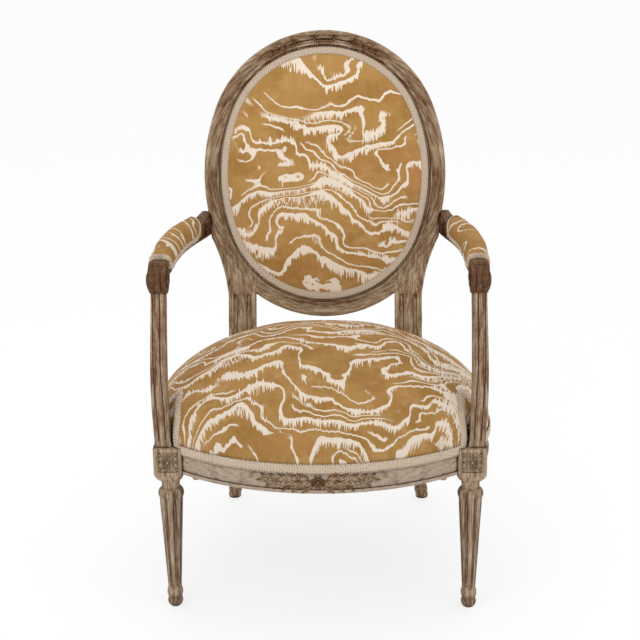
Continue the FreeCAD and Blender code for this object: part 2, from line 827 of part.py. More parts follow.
def seat_braid():
    low, high = tack_line, tack_line + gimp_width
    inner = -rail_rebate + clearance + cloth + clearance
    band = seat_prism(inner + gimp_thickness, low, high).cut(seat_prism(inner, low, high))
    return band.cut(stump_notches(stump_gap) + leg_room(clearance))


def strips(direction_y, count, step, low):
    """Webbing strips under the seat, all one way."""
    pieces = []
    for index in range(count):
        place = (index - (count - 1) / 2) * step
        if direction_y:
            strip = box(V(place - web_width / 2, -far, low), V(place + web_width / 2, 2 * far, low + web_thickness))
        else:
            middle = seat_middle_y + place
            strip = box(V(-far, middle - web_width / 2, low), V(far, middle + web_width / 2, low + web_thickness))
        pieces.append(strip.common(seat_prism(-web_inset, low, low + web_thickness)))
    return [piece.cut(leg_room(clearance) + post_room(clearance)) for piece in pieces]


def seat_webbing():
    upper = strips(True, long_web_count, web_step, rail_bottom - web_thickness - clearance / 3)
    lower = strips(False, cross_web_count, web_step, rail_bottom - 2 * web_thickness - clearance)
    return Part.makeCompound([biggest(piece) for piece in upper + lower])


def two_arcs(start, start_heading, end, end_heading):
    """Two arcs that leave one point and reach another along given headings."""
    chord = end.sub(start)
    both = start_heading + end_heading
    bend = 2 * (1 - start_heading.dot(end_heading))
    lean_in = chord.dot(both)
    reach = (math.sqrt(lean_in ** 2 + bend * chord.dot(chord)) - lean_in) / bend
    first_apex, second_apex = start + start_heading * reach, end - end_heading * reach
    joint = (first_apex + second_apex) / 2
    arcs = []
    for low, apex, high in ((start, first_apex, joint), (joint, second_apex, end)):
        middle = (low + high) / 2
        cosine = high.sub(low).Length / 2 / reach
        arcs.append(curve(low, middle + (apex - middle) * (cosine / (1 + cosine)), high))
    return arcs


def coil_wire(radius, height, turns):
    """The line of a coil that rises from the level of the origin."""
    slope = height / turns / (2 * math.pi * radius)

    def at(half_turn):
        angle = half_turn * math.pi + math.pi / 2
        place = V(radius * math.cos(angle), radius * math.sin(angle), height * half_turn / (2 * turns))
        return place, V(-math.sin(angle), math.cos(angle), slope).normalize()

    arcs = []
    for half_turn in range(2 * turns):
        arcs += two_arcs(*at(half_turn), *at(half_turn + 1))
    return Part.Wire(arcs), at(0)


def seat_springs():
    springs = []
    low = rail_bottom + spring_wire / 2 + clearance
    half_width = side_reach - spring_margin
    half_depth = rear_reach - seat_middle_y - spring_margin
    for i in (-1, 0, 1):
        for j in (-1, 0, 1):
            x, y = i * web_step, j * web_step
            share = math.hypot(abs(x) / half_width, abs(y) / half_depth)
            dome = rail_top + (spring_crown - rail_top) * math.sqrt(1 - share * share)
            height = dome - thin_cloth - spring_wire - low - spring_radius * share / 2
            path, (start, heading_there) = coil_wire(spring_radius, height, spring_turns)
            ring = Part.Wire(Part.makeCircle(spring_wire / 2, start, heading_there))
            coil = path.makePipeShell([ring], True, False)
            coil.translate(V(x, seat_middle_y + y, low))
            springs.append(coil)
    return Part.makeCompound(springs)


def lining():
    """The thin cloth that closes the seat from below."""
    low = rail_bottom - 2 * web_thickness - 2 * clearance - thin_cloth
    sheet = seat_prism(-lining_inset, low, low + thin_cloth)
    block = box(V(post_inner_x - clearance, rear_block_front_y - clearance, 0),
                V(post_outer_x + clearance, 2 * far, rear_block_top))
    return biggest(sheet.cut(leg_room(clearance) + [block, mirrored(block)]))


def tack(place, into):
    head = rod(place, into, tack_head_width, tack_head_height)
    return joined(head, rod(place, into, tack_width, tack_length))


def tack_row(offset, height, count, into=None):
    """Tacks at even steps along the seat's outline, left out where a leg stands."""
    rooms = leg_room(tack_clear) + stump_notches(tack_clear)
    points = seat_outline(offset, height).discretize(Number=count + 1)[:-1]
    tacks = []
    for index, point in enumerate(points):
        if any(room.isInside(point, nearness, True) for room in rooms):
            continue
        along = points[(index + 1) % count].sub(points[index - 1])
        inward = V(-along.y, along.x, 0).normalize()
        if inward.dot(V(0, seat_middle_y, height).sub(point)) < 0:
            inward = inward * -1
        tacks.append(tack(point, into or inward))
    return tacks


def web_tacks():
    """Two tacks at each end of every webbing strip, driven up into the rails."""
    rooms = leg_room(tack_clear) + stump_notches(tack_clear)
    level = rail_bottom - 2 * web_thickness - clearance
    outline = seat_prism(-rail_tack_inset, level - overrun, level + overrun)
    tacks = []
    for count, lengthways in ((long_web_count, True), (cross_web_count, False)):
        for index in range(count):
            for spread in (-web_tack_spread, web_tack_spread):
                place = (index - (count - 1) / 2) * web_step + spread
                start = V(place, -far, level) if lengthways else V(-far, seat_middle_y + place, level)
                end = V(place, 2 * far, level) if lengthways else V(far, seat_middle_y + place, level)
                reach = outline.common(line(start, end))
                for vertex in reach.Vertexes:
                    if not any(room.isInside(vertex.Point, nearness, True) for room in rooms):
                        tacks.append(tack(vertex.Point, upward))
    return tacks


def back_tacks():
    level = rebate_depth - clearance - 2 * web_thickness - 2 * thin_cloth - clearance / 3
    middle = (gimp_outer + gimp_inner) / 2
    return [tack(point, backward) for point in
            oval_outline(middle, level).discretize(Number=back_tack_count + 1)[:-1]]


# The back's upholstery, in the flat plane of the back

def back_strips(upright, count, step, front):
    pieces = []
    room = oval_plate(cover_edge, front, web_thickness)
    for index in range(count):
        place = (index - (count - 1) / 2) * step
        half = web_width / 2
        if upright:
            strip = box(V(place - half, front, -far), V(place + half, front + web_thickness, far))
        else:
            strip = box(V(-far, front, place - half), V(far, front + web_thickness, place + half))
        pieces.append(strip.common(room))
    return pieces


def back_layers():
    """Webbing, canvas, stuffing, cover and braids, from the rebate forward."""
    level = rebate_depth - clearance / 3 - web_thickness
    webs = back_strips(True, upright_back_web_count, back_web_step, level)
    level -= clearance / 3 + web_thickness
    webs += back_strips(False, level_back_web_count, back_web_step, level)
    level -= clearance / 3 + thin_cloth
    canvas = oval_plate(cover_edge, level, thin_cloth)
    base = level - clearance
    level -= clearance / 3 + thin_cloth
    dome = oval_dome(dome_inset, level, back_crown)
    hollow = oval_dome(dome_inset + thin_cloth, base + clearance, back_crown)
    plate = oval_plate(cover_edge, level, thin_cloth)
    cover = joined(plate, dome).cut([hollow, oval_plate(dome_inset + thin_cloth, level, thin_cloth)])
    stuffing = oval_dome(dome_inset + thin_cloth + clearance, base + clearance, back_crown - clearance)
    braid = oval_band(gimp_outer, gimp_inner, level - clearance / 3 - gimp_thickness, gimp_thickness)
    outside = oval_plate(cover_edge, rebate_back + clearance / 3, thin_cloth)
    outside_braid = oval_band(gimp_outer + clearance, gimp_inner, rebate_back + clearance + thin_cloth, gimp_thickness)
    return {
        "back_webbing": Part.makeCompound(webs),
        "back_canvas": canvas,
        "back_stuffing": stuffing,
        "back_cover": biggest(cover),
        "back_gimp": braid,
        "outside_back_cover": outside,
        "outside_back_gimp": outside_braid,
    }


# Putting the chair together

def both_sides(parts, name, shape):
    parts[name + "_right"] = shape
    parts[name + "_left"] = mirrored(shape)


def build():
    parts = {}
    front_leg = front_leg_blank()
    rear_leg = rear_leg_blank()
    rails = seat_rails([front_leg, mirrored(front_leg)], [rear_leg, mirrored(rear_leg)])
    pegs = seat_pegs()
    all_pegs = pegs + [mirrored(peg) for peg in pegs]

    arm = arm_blank()
    stump, stump_foot, stump_head = stump_blank()
    stump = joined(biggest(stump.cut([arm])), stump_foot, stump_head)
    arm = biggest(arm.cut([rear_leg, stump]))

    crest = oval_piece(oval_end_middle, oval_end_radius, oval_turn, math.pi - oval_turn)
    bottom = oval_piece(oval_end_middle * -1, oval_end_radius, math.pi + oval_turn, 2 * math.pi - oval_turn)
    bottom = bottom.common(box(V(-post_inner_x, -far, -far), V(post_inner_x, far, far)))

    middle_depth = (rebate_depth + rebate_back) / 2
    crest_joint = oval_side_middle + V(math.cos(oval_turn), 0, math.sin(oval_turn)) * (
        oval_side_radius - oval_width / 2)
    along = V(-math.sin(oval_turn), 0, math.cos(oval_turn))
    crest_dowel = rod(crest_joint + V(0, middle_depth, 0) - along * (joint_dowel_length / 2), along,
                      joint_dowel_width, joint_dowel_length)
    bottom_height = -oval_end_middle.z - math.sqrt(
        (oval_end_radius - oval_width / 2) ** 2 - post_inner_x ** 2)
    bottom_dowel = rod(V(post_inner_x - joint_dowel_length / 2, middle_depth, bottom_height), across,
                       joint_dowel_width, joint_dowel_length)
    back_dowels = [crest_dowel, bottom_dowel, mirrored(crest_dowel), mirrored(bottom_dowel)]
    crest = leaned(crest.cut(back_dowels))
    bottom = leaned(bottom.cut(back_dowels))
    back_dowels = [leaned(piece) for piece in back_dowels]

    arm_dowel_start = V(post_arm_x - joint_dowel_length / 2, 0, post_arm + arm_wood_height + arm_end_rise / 2)
    arm_dowel = leaned(rod(arm_dowel_start + V(0, middle_depth, 0), across, joint_dowel_width, joint_dowel_length))
    arm = arm.cut([arm_dowel])

    rear_leg = rear_leg.cut([rails["side_rail_right"], rails["rear_rail"], arm_dowel] + back_dowels + pegs)
    front_leg = front_leg.cut([rails["side_rail_right"], rails["front_rail"], stump] + pegs)

    cover_tacks = tack_row(-rail_rebate + clearance + cloth + clearance / 2, tack_line + gimp_width / 2,
                           cover_tack_count)
    lining_level = rail_bottom - 2 * web_thickness - 2 * clearance - thin_cloth
    lining_tacks = tack_row(-lining_inset - tack_head_width / 2 - tack_width / 2, lining_level - clearance / 2,
                            lining_tack_count, upward)
    strip_tacks = web_tacks()
    screws = []
    for place, ends in zip(("front", "rear"), brace_ends()):
        brace = corner_brace(ends).cut([front_leg, rear_leg] + pegs)
        fixings = brace_screws(ends)
        screws += fixings + [mirrored(screw) for screw in fixings]
        both_sides(parts, "corner_brace_" + place, biggest(brace.cut(fixings)))
        rear_leg = rear_leg.cut(fixings)
    fastenings = all_pegs + screws + cover_tacks + lining_tacks + strip_tacks
    rails = {name: biggest(rail.cut(fastenings)) for name, rail in rails.items()}

    both_sides(parts, "front_leg", front_leg)
    both_sides(parts, "rear_leg", rear_leg)
    both_sides(parts, "arm_support", stump)
    both_sides(parts, "arm_rail", arm)
    parts["crest_rail"] = crest
    parts["back_bottom_rail"] = bottom
    parts.update(rails)
    parts["seat_frame_pegs"] = Part.makeCompound(all_pegs)
    parts["brace_screws"] = Part.makeCompound(screws)
    parts["seat_cover_tacks"] = Part.makeCompound(cover_tacks)
    parts["lining_tacks"] = Part.makeCompound(lining_tacks)
    parts["webbing_tacks"] = Part.makeCompound(strip_tacks)
    parts["back_frame_dowels"] = Part.makeCompound(back_dowels)
    parts["arm_dowels"] = Part.makeCompound([arm_dowel, mirrored(arm_dowel)])

    both_sides(parts, "arm_pad_cover", pad_solid(0, arm_lip + clearance).cut(
        [pad_solid(cloth, arm_lip - overrun)]).cut([parts["arm_rail_right"]]))
    both_sides(parts, "arm_pad_stuffing", biggest(pad_stuffing().cut([parts["arm_rail_right"]])))
    both_sides(parts, "arm_pad_gimp", biggest(arm_gimp().cut([parts["arm_rail_right"]])))

    cover, stuffing, canvas = seat_covering()
    parts["seat_cover"] = biggest(cover.cut(cover_tacks))
    parts["seat_stuffing"] = stuffing
    parts["seat_canvas"] = canvas
    parts["seat_gimp"] = seat_braid()
    parts["seat_webbing"] = seat_webbing().cut(strip_tacks + lining_tacks)
    parts["seat_springs"] = seat_springs()
    parts["bottom_lining"] = biggest(lining().cut(lining_tacks))

    layers = back_layers()
    nails = back_tacks()
    for name in ("back_cover", "back_canvas", "back_webbing"):
        layers[name] = layers[name].cut(nails)
    layers["back_cover_tacks"] = Part.makeCompound(nails)
    for name, shape in layers.items():
        parts[name] = leaned(shape)
    placed_nails = parts["back_cover_tacks"].Solids
    for name in ("crest_rail", "back_bottom_rail", "rear_leg_right", "rear_leg_left"):
        parts[name] = biggest(parts[name].cut(placed_nails))
    return parts


def centred(parts):
    """Moves the chair so that its origin lies under the middle of its box."""
    bounds = FreeCAD.BoundBox()
    for shape in parts.values():
        bounds.add(shape.optimalBoundingBox(False))
    shift = V(-bounds.Center.x, -bounds.Center.y, -bounds.ZMin)
    for shape in parts.values():
        shape.translate(shift)
    return bounds, shift


parts = build()
bounds, shift = centred(parts)
print("box", round(bounds.XLength, 2), round(bounds.YLength, 2), round(bounds.ZLength, 2), "shift", shift)
for name, shape in sorted(parts.items()):
    solids = shape.Solids
    volume = sum(solid.Volume for solid in solids)
    print(name, len(solids), round(volume / 1000, 1), shape.isValid())
    shape.exportStep("parts/" + name + ".step")
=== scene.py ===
import bpy, math
from mathutils import Vector, Matrix
from mathutils.bvhtree import BVHTree


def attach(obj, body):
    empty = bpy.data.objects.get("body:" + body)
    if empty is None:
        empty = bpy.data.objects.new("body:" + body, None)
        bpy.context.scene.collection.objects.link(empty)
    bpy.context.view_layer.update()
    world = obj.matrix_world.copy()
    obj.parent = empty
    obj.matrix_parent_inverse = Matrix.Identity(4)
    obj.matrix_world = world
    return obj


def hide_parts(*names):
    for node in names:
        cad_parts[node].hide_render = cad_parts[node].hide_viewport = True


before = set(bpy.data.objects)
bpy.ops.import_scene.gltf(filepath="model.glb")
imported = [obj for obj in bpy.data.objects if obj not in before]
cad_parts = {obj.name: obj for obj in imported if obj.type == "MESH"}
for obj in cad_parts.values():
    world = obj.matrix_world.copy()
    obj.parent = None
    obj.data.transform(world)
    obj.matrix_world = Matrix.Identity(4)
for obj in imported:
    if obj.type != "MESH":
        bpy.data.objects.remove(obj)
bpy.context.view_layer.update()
print("chair frame loaded:", len(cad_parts), "nodes")

# places shared by several pieces, in metres; the chair's own frame starts 225 mm behind the front legs
place = {
    "shiftY": 0.22487,        # from the front legs' line back to the origin
    "legX": 0.266, "blockWidth": 0.053,
    "leanDegrees": 12.5, "ovalY": 0.475, "ovalZ": 0.7165,
    "ovalHalfWidth": 0.245, "ovalHalfHeight": 0.290, "ovalEndRadius": 0.235,
    "frontBow": 0.086, "frontEndY": -0.026, "sideReach": 0.3085, "sideRadius": 0.318, "sideY": 0.133,
    "rearReach": 0.420, "rearRadius": 0.728, "frontCorner": 0.120, "rearCorner": 0.110,
    "seatMiddleY": 0.158, "tackLine": 0.302, "braidWidth": 0.013,
}
lean = math.radians(place["leanDegrees"])
seatMiddleY = place["seatMiddleY"] - place["shiftY"]
halfBlock = place["blockWidth"] / 2
frontChord = place["legX"] - halfBlock
frontRadius = (frontChord ** 2 + place["frontBow"] ** 2) / (2 * place["frontBow"])
sides = (("left", -1), ("right", 1))

# small helpers

def tint(colour, share=1.0):  # a colour as it looks on screen, 0 to 255, or a share of it
    values = []
    for value in colour:
        value = value * share / 255
        values.append(value / 12.92 if value <= 0.04045 else ((value + 0.055) / 1.055) ** 2.4)
    return (*values, 1.0)


def steps(count):  # even shares from 0 to 1
    return [step / count for step in range(count + 1)]


def placed(name, data):  # a new object in the scene
    piece = bpy.data.objects.new(name, data)
    bpy.context.scene.collection.objects.link(piece)
    return piece


def alone(piece):  # selects one object and nothing else
    if bpy.context.object and bpy.context.object.mode != "OBJECT":
        bpy.ops.object.mode_set(mode="OBJECT")
    bpy.ops.object.select_all(action="DESELECT")
    piece.hide_set(False)
    piece.select_set(True)
    bpy.context.view_layer.objects.active = piece
    return piece


def settle(piece):  # puts the place of an object into its mesh
    alone(piece)
    bpy.ops.object.transform_apply(location=True, rotation=True, scale=True)
    return piece


def applied(piece, kind, **settings):
    alone(piece)
    modifier = piece.modifiers.new(kind.lower(), kind)
    for key, value in settings.items():
        setattr(modifier, key, value)
    bpy.ops.object.modifier_apply(modifier=modifier.name)
    return piece


def smoothed(piece, degrees):
    alone(piece)
    bpy.ops.object.shade_smooth_by_angle(angle=math.radians(degrees))
    return piece


def joined(pieces):  # makes one object of several
    alone(pieces[0])
    for piece in pieces[1:]:
        piece.select_set(True)
    bpy.ops.object.join()
    return pieces[0]


def outward(piece, merged=True):  # turns every face outwards, once doubles are merged
    alone(piece)
    bpy.ops.object.mode_set(mode="EDIT")
    bpy.ops.mesh.select_all(action="SELECT")
    if merged:
        bpy.ops.mesh.remove_doubles(threshold=0.00002)
    bpy.ops.mesh.normals_make_consistent(inside=False)
    bpy.ops.object.mode_set(mode="OBJECT")
    return piece


def skin(name, rows, roundOff=True, goesOn=False, lengths=None):  # quads between rows of points
    across, count = len(rows[0]), len(rows)
    points = [tuple(point) for row in rows for point in row]
    faces = []
    for i in range(count if goesOn else count - 1):
        for j in range(across if roundOff else across - 1):
            k, m = (i + 1) % count, (j + 1) % across
            faces.append((i * across + j, i * across + m, k * across + m, k * across + j))
    if roundOff and not goesOn:
        faces.append(tuple(range(across)))
        faces.append(tuple(reversed(range((count - 1) * across, count * across))))
    mesh = bpy.data.meshes.new(name)
    mesh.from_pydata(points, [], faces)
    piece = placed(name, mesh)
    if lengths:  # a map in metres: along the strip, then across it
        uv = mesh.uv_layers.new(name="cloth")
        for face in mesh.polygons:
            rowsHere = [mesh.loops[corner].vertex_index // across for corner in face.loop_indices]
            wraps = goesOn and max(rowsHere) - min(rowsHere) > 1
            for corner, row in zip(face.loop_indices, rowsHere):
                column = mesh.loops[corner].vertex_index % across
                along = lengths[-1] if wraps and row == 0 else lengths[row]
                uv.data[corner].uv = (along, column / across)
    return piece


def finished(piece, material, slot, *nodes):
    piece.data.materials.clear()
    piece.data.materials.append(material)
    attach(piece, "root")
    if nodes:
        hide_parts(*nodes)
    return piece


# lines that the pieces follow

def cornerMiddle(first, firstRadius, second, secondRadius, radius):
    a, b = firstRadius - radius, secondRadius - radius
    step = second - first
    along = (a * a - b * b + step.length_squared) / (2 * step.length)
    aside = math.sqrt(a * a - along * along)
    unit = step.normalized()
    right = Vector((-unit.y, unit.x))
    return first + unit * along + (right if right.x > 0 else -right) * aside


def arcLine(x, y, radius, offset, start, end, step=0.004):  # along an arc, without its last point
    count = max(2, round(abs(end - start) * radius / step))
    turns = [start + (end - start) * index / count for index in range(count)]
    reach = radius + offset
    return [(x + reach * math.cos(turn), y + reach * math.sin(turn)) for turn in turns]


def seatLine(offset):  # the plan line of the rails' outer face, once round from the rear
    front = Vector((0, place["frontEndY"] - place["frontBow"] + frontRadius))
    side = Vector((place["sideReach"] - place["sideRadius"], place["sideY"]))
    rear = Vector((0, place["rearReach"] - place["rearRadius"]))
    lowCorner = cornerMiddle(front, frontRadius, side, place["sideRadius"], place["frontCorner"])
    highCorner = cornerMiddle(side, place["sideRadius"], rear, place["rearRadius"], place["rearCorner"])

    def facing(a, b):
        return math.atan2(b.y - a.y, b.x - a.x)

    middles = (front, lowCorner, side, highCorner, rear)
    radii = [frontRadius] + [place[key] for key in ("frontCorner", "sideRadius", "rearCorner", "rearRadius")]
    turns = [-math.pi / 2, facing(front, lowCorner), facing(side, lowCorner), facing(side, highCorner),
             facing(rear, highCorner), math.pi / 2]
    right = []
    for middle, radius, start, end in zip(middles, radii, turns, turns[1:]):
        right += [Vector(spot) for spot in arcLine(middle.x, middle.y, radius, offset, start, end)]
    right.append(Vector((0, place["rearReach"] + offset)))
    left = [Vector((-point.x, point.y)) for point in reversed(right[1:-1])]
    return [point - Vector((0, place["shiftY"])) for point in right + left]


def ovalLine(inset):  # the oval's line in its own plane, once round
    half, tall, end = place["ovalHalfWidth"], place["ovalHalfHeight"], place["ovalEndRadius"]
    sideRadius = (half ** 2 + (tall - end) ** 2 - end ** 2) / (2 * (half - end))
    side, top = half - sideRadius, tall - end
    turn = math.atan2(top, -side)
    arcs = ((side, 0, sideRadius, -turn, turn), (0, top, end, turn, math.pi - turn),
            (-side, 0, sideRadius, math.pi - turn, math.pi + turn),
            (0, -top, end, math.pi + turn, 2 * math.pi - turn))
    return [spot for x, z, radius, start, stop in arcs for spot in arcLine(x, z, radius, -inset, start, stop)]


def leaned(x, depth, height):  # from the back's flat plane to the chair
    y = depth * math.cos(lean) + height * math.sin(lean) + place["ovalY"] - place["shiftY"]
    return Vector((x, y, height * math.cos(lean) - depth * math.sin(lean) + place["ovalZ"]))


def upTheBack(y, z):  # height above the oval's middle, along the leaning back
    return (z - place["ovalZ"]) * math.cos(lean) + (y - (place["ovalY"] - place["shiftY"])) * math.sin(lean)


forwardOfBack = Vector((0, -math.cos(lean), math.sin(lean)))

# materials

class Thread:  # one value in a material, written as a number is
    def __init__(self, tree, socket):
        self.tree, self.socket = tree, socket

    def node(self, kind, settings=None, sockets=None, out=0):
        made = self.tree.nodes.new("ShaderNode" + kind)
        for key, value in (settings or {}).items():
            setattr(made, key, value)
        for key, value in (sockets or {}).items():
            if isinstance(value, Thread):
                self.tree.links.new(value.socket, made.inputs[key])
            else:
                made.inputs[key].default_value = value
        return Thread(self.tree, made.outputs[out])

    def sum(self, operation, *values):
        return self.node("Math", {"operation": operation}, dict(enumerate(values)))

    def __add__(self, other):
        return self.sum("ADD", self, other)

    def __radd__(self, other):
        return self.sum("ADD", other, self)

    def __sub__(self, other):
        return self.sum("SUBTRACT", self, other)

    def __rsub__(self, other):
        return self.sum("SUBTRACT", other, self)

    def __mul__(self, other):
        return self.sum("MULTIPLY", self, other)

    def __rmul__(self, other):
        return self.sum("MULTIPLY", other, self)

    def __abs__(self):
        return self.sum("ABSOLUTE", self)

    def sine(self):
        return self.sum("SINE", self)

    def most(self, other):
        return self.sum("MAXIMUM", self, other)

    def fade(self, low, high):  # 0 below low, 1 above high, or the other way round
        return self.node("MapRange", {"interpolation_type": "SMOOTHSTEP"},
                         {"Value": self, "From Min": low, "From Max": high})

    def point(self, x, y, z):
        return self.node("CombineXYZ", None, {"X": x, "Y": y, "Z": z})

    def noise(self, spot, scale, detail=2.0, rough=0.5, warp=0.0):
        return self.node("TexNoise", None, {"Vector": spot, "Scale": scale, "Detail": detail,
                                            "Roughness": rough, "Distortion": warp})

    def blend(self, mask, first, second):
        return self.node("Mix", {"data_type": "RGBA"}, {"Factor": mask, 6: first, 7: second}, 2)

    def spread(self, kind, settings=None, out=0):  # the parts of a place on the piece
        spot = self.node(kind, settings, None, out)
        outputs = self.node("SeparateXYZ", None, {"Vector": spot}).socket.node.outputs
        return [Thread(self.tree, output) for output in outputs]


def begun(name):  # a new material: its first thread and its shader
    material = bpy.data.materials.new(name)
    material.use_nodes = True
    tree = material.node_tree
    shader = tree.nodes["Principled BSDF"]
    shader.inputs["Specular IOR Level"].default_value = 0.22
    return material, Thread(tree, None), shader


def ended(start, shader, colour, rough, height, depth):
    tree = start.tree
    tree.links.new(colour.socket, shader.inputs["Base Color"])
    if isinstance(rough, Thread):
        tree.links.new(rough.socket, shader.inputs["Roughness"])
    else:
        shader.inputs["Roughness"].default_value = rough
    bump = start.node("Bump", None, {"Strength": 1.0, "Distance": depth, "Height": height})
    tree.links.new(bump.socket, shader.inputs["Normal"])


woodLooks = {
    "deep": (44, 25, 12), "brown": (90, 57, 32), "warm": (120, 82, 49), "taupe": (144, 117, 88),
    "paint": (172, 151, 125), "chalk": (200, 183, 160), "grey": (164, 152, 142),
    "occlusionShadeReach": 0.006, "flutes": 8,
    "ball": (0.03, 0.02), "fluteFoot": (0.044, 0.052), "fluteTop": (0.232, 0.222),
}


# paint goes from 0, rubbed bare, to 1, well covered; shadeAndWearStrength sets how brown the hollows turn, as
# painted shade, and the flutes, grooves and rubbed foot; grey cools the coats and dark dims the bare wood
def woodFinish(name, grain, paint, shadeAndWearStrength, grey=0.0, dark=1.0):
    coats = [tint([a + (b - a) * grey for a, b in zip(woodLooks[coat], woodLooks["grey"])])
             for coat in ("taupe", "paint", "chalk")]
    material, start, shader = begun(name)
    x, y, z = start.spread("TexCoord", out=3)
    wide = abs(x)
    groove = 0.0
    straight = None
    if grain in ("leg", "support"):
        along, across, deep = z, wide, y
        if grain == "leg":  # the flutes stay dark, their ridges and the foot are rubbed
            turn = start.sum("ARCTAN2", y + place["shiftY"], wide - place["legX"])
            groove = (start.sum("COSINE", turn * woodLooks["flutes"]) * -0.5 + 0.5).fade(0.35, 0.75)
            groove = groove * z.fade(*woodLooks["fluteFoot"]) * z.fade(*woodLooks["fluteTop"]) * 0.55
            groove = groove + z.fade(*woodLooks["ball"]) * 0.35
        else:  # two lines follow the support's bend
            middle = (z.fade(0.31, 0.56) * 2.2).sine() * 0.006 + 0.2755
            groove = abs(abs(wide - middle) - 0.0062).fade(0.0016, 0.0004) * z.fade(0.318, 0.33)
    elif grain == "arm":
        along, across, deep = y, wide, z
    elif grain == "seat":
        along = start.sum("ARCTAN2", wide, seatMiddleY - y) * 0.3
        across, deep = z, wide * 0.6 + y * 0.1
    else:
        high = upTheBack(y, z)
        along = start.sum("ARCTAN2", wide, high) * 0.25
        across, deep = start.sum("SQRT", x * x + high * high), wide * 0.3 + y * 0.3
        if grain == "post":  # upright below the oval
            straight = high.fade(-0.13, -0.19)

    def streak(runs, crosses, sinks, *settings):
        bent = start.noise(start.point(along * runs, across * crosses, deep * sinks), 1.0, *settings)
        if straight is None:
            return bent
        upright = start.noise(start.point(z * runs, wide * crosses, y * sinks), 1.0, *settings)
        return bent * (1 - straight) + upright * straight

    fine = streak(34, 700, 300, 3.0, 0.6)
    streaks = streak(11, 210, 130, 3.0, 0.65)
    patches = streak(15, 40, 40, 4.0, 0.65, 0.4)
    specks = streak(300, 500, 500, 2.0, 0.6)
    # painted shade: ambient occlusion darkens corners and recesses; the mask also holds the flutes, grooves
    # and worn foot
    occlusionShade = start.node("AmbientOcclusion", {"samples": 8}, {"Distance": woodLooks["occlusionShadeReach"]}, 1)
    shadeAndWearMask = occlusionShade.fade(0.95, 0.5).most(groove)
    cover = (streaks - 0.5) * 1.1 + (patches - 0.5) * 1.25 + (fine - 0.5) * 0.55 + (specks - 0.5) * 0.5
    covered = (cover + paint - shadeAndWearMask * 0.35).fade(0.2, 0.8)
    bare = start.blend((fine * 0.5 + streaks * 0.5).fade(0.42, 0.58), tint(woodLooks["brown"], dark),
                       tint(woodLooks["warm"], dark))
    pale = start.blend((streaks * 0.5 + fine * 0.5).fade(0.42, 0.6), coats[0], coats[1])
    pale = start.blend((streaks * 0.5 + patches * 0.5).fade(0.56, 0.68) * paint, pale, coats[2])
    colour = start.blend(covered, bare, pale)
    # the mask's painted shade and wear turn the colour towards deep brown
    colour = start.blend(shadeAndWearMask * (0.55 + 0.45 * shadeAndWearStrength), colour, tint(woodLooks["deep"]))
    rough = covered * 0.16 + 0.6 - shadeAndWearMask * 0.05
    height = fine * 0.4 + streaks * 0.5 + covered * 0.3 + specks * 0.15 - shadeAndWearMask * 0.3
    ended(start, shader, colour, rough, height, 0.0009)
    return material


clothLooks = {
    "colours": ((172, 131, 74), (154, 113, 56), (170, 119, 69), (186, 150, 98), (230, 216, 198)),
    "linesPerMetre": 15.5, "combPitch": 0.0029, "tooth": 0.019, "patch": 0.024, "threads": 5200,
}


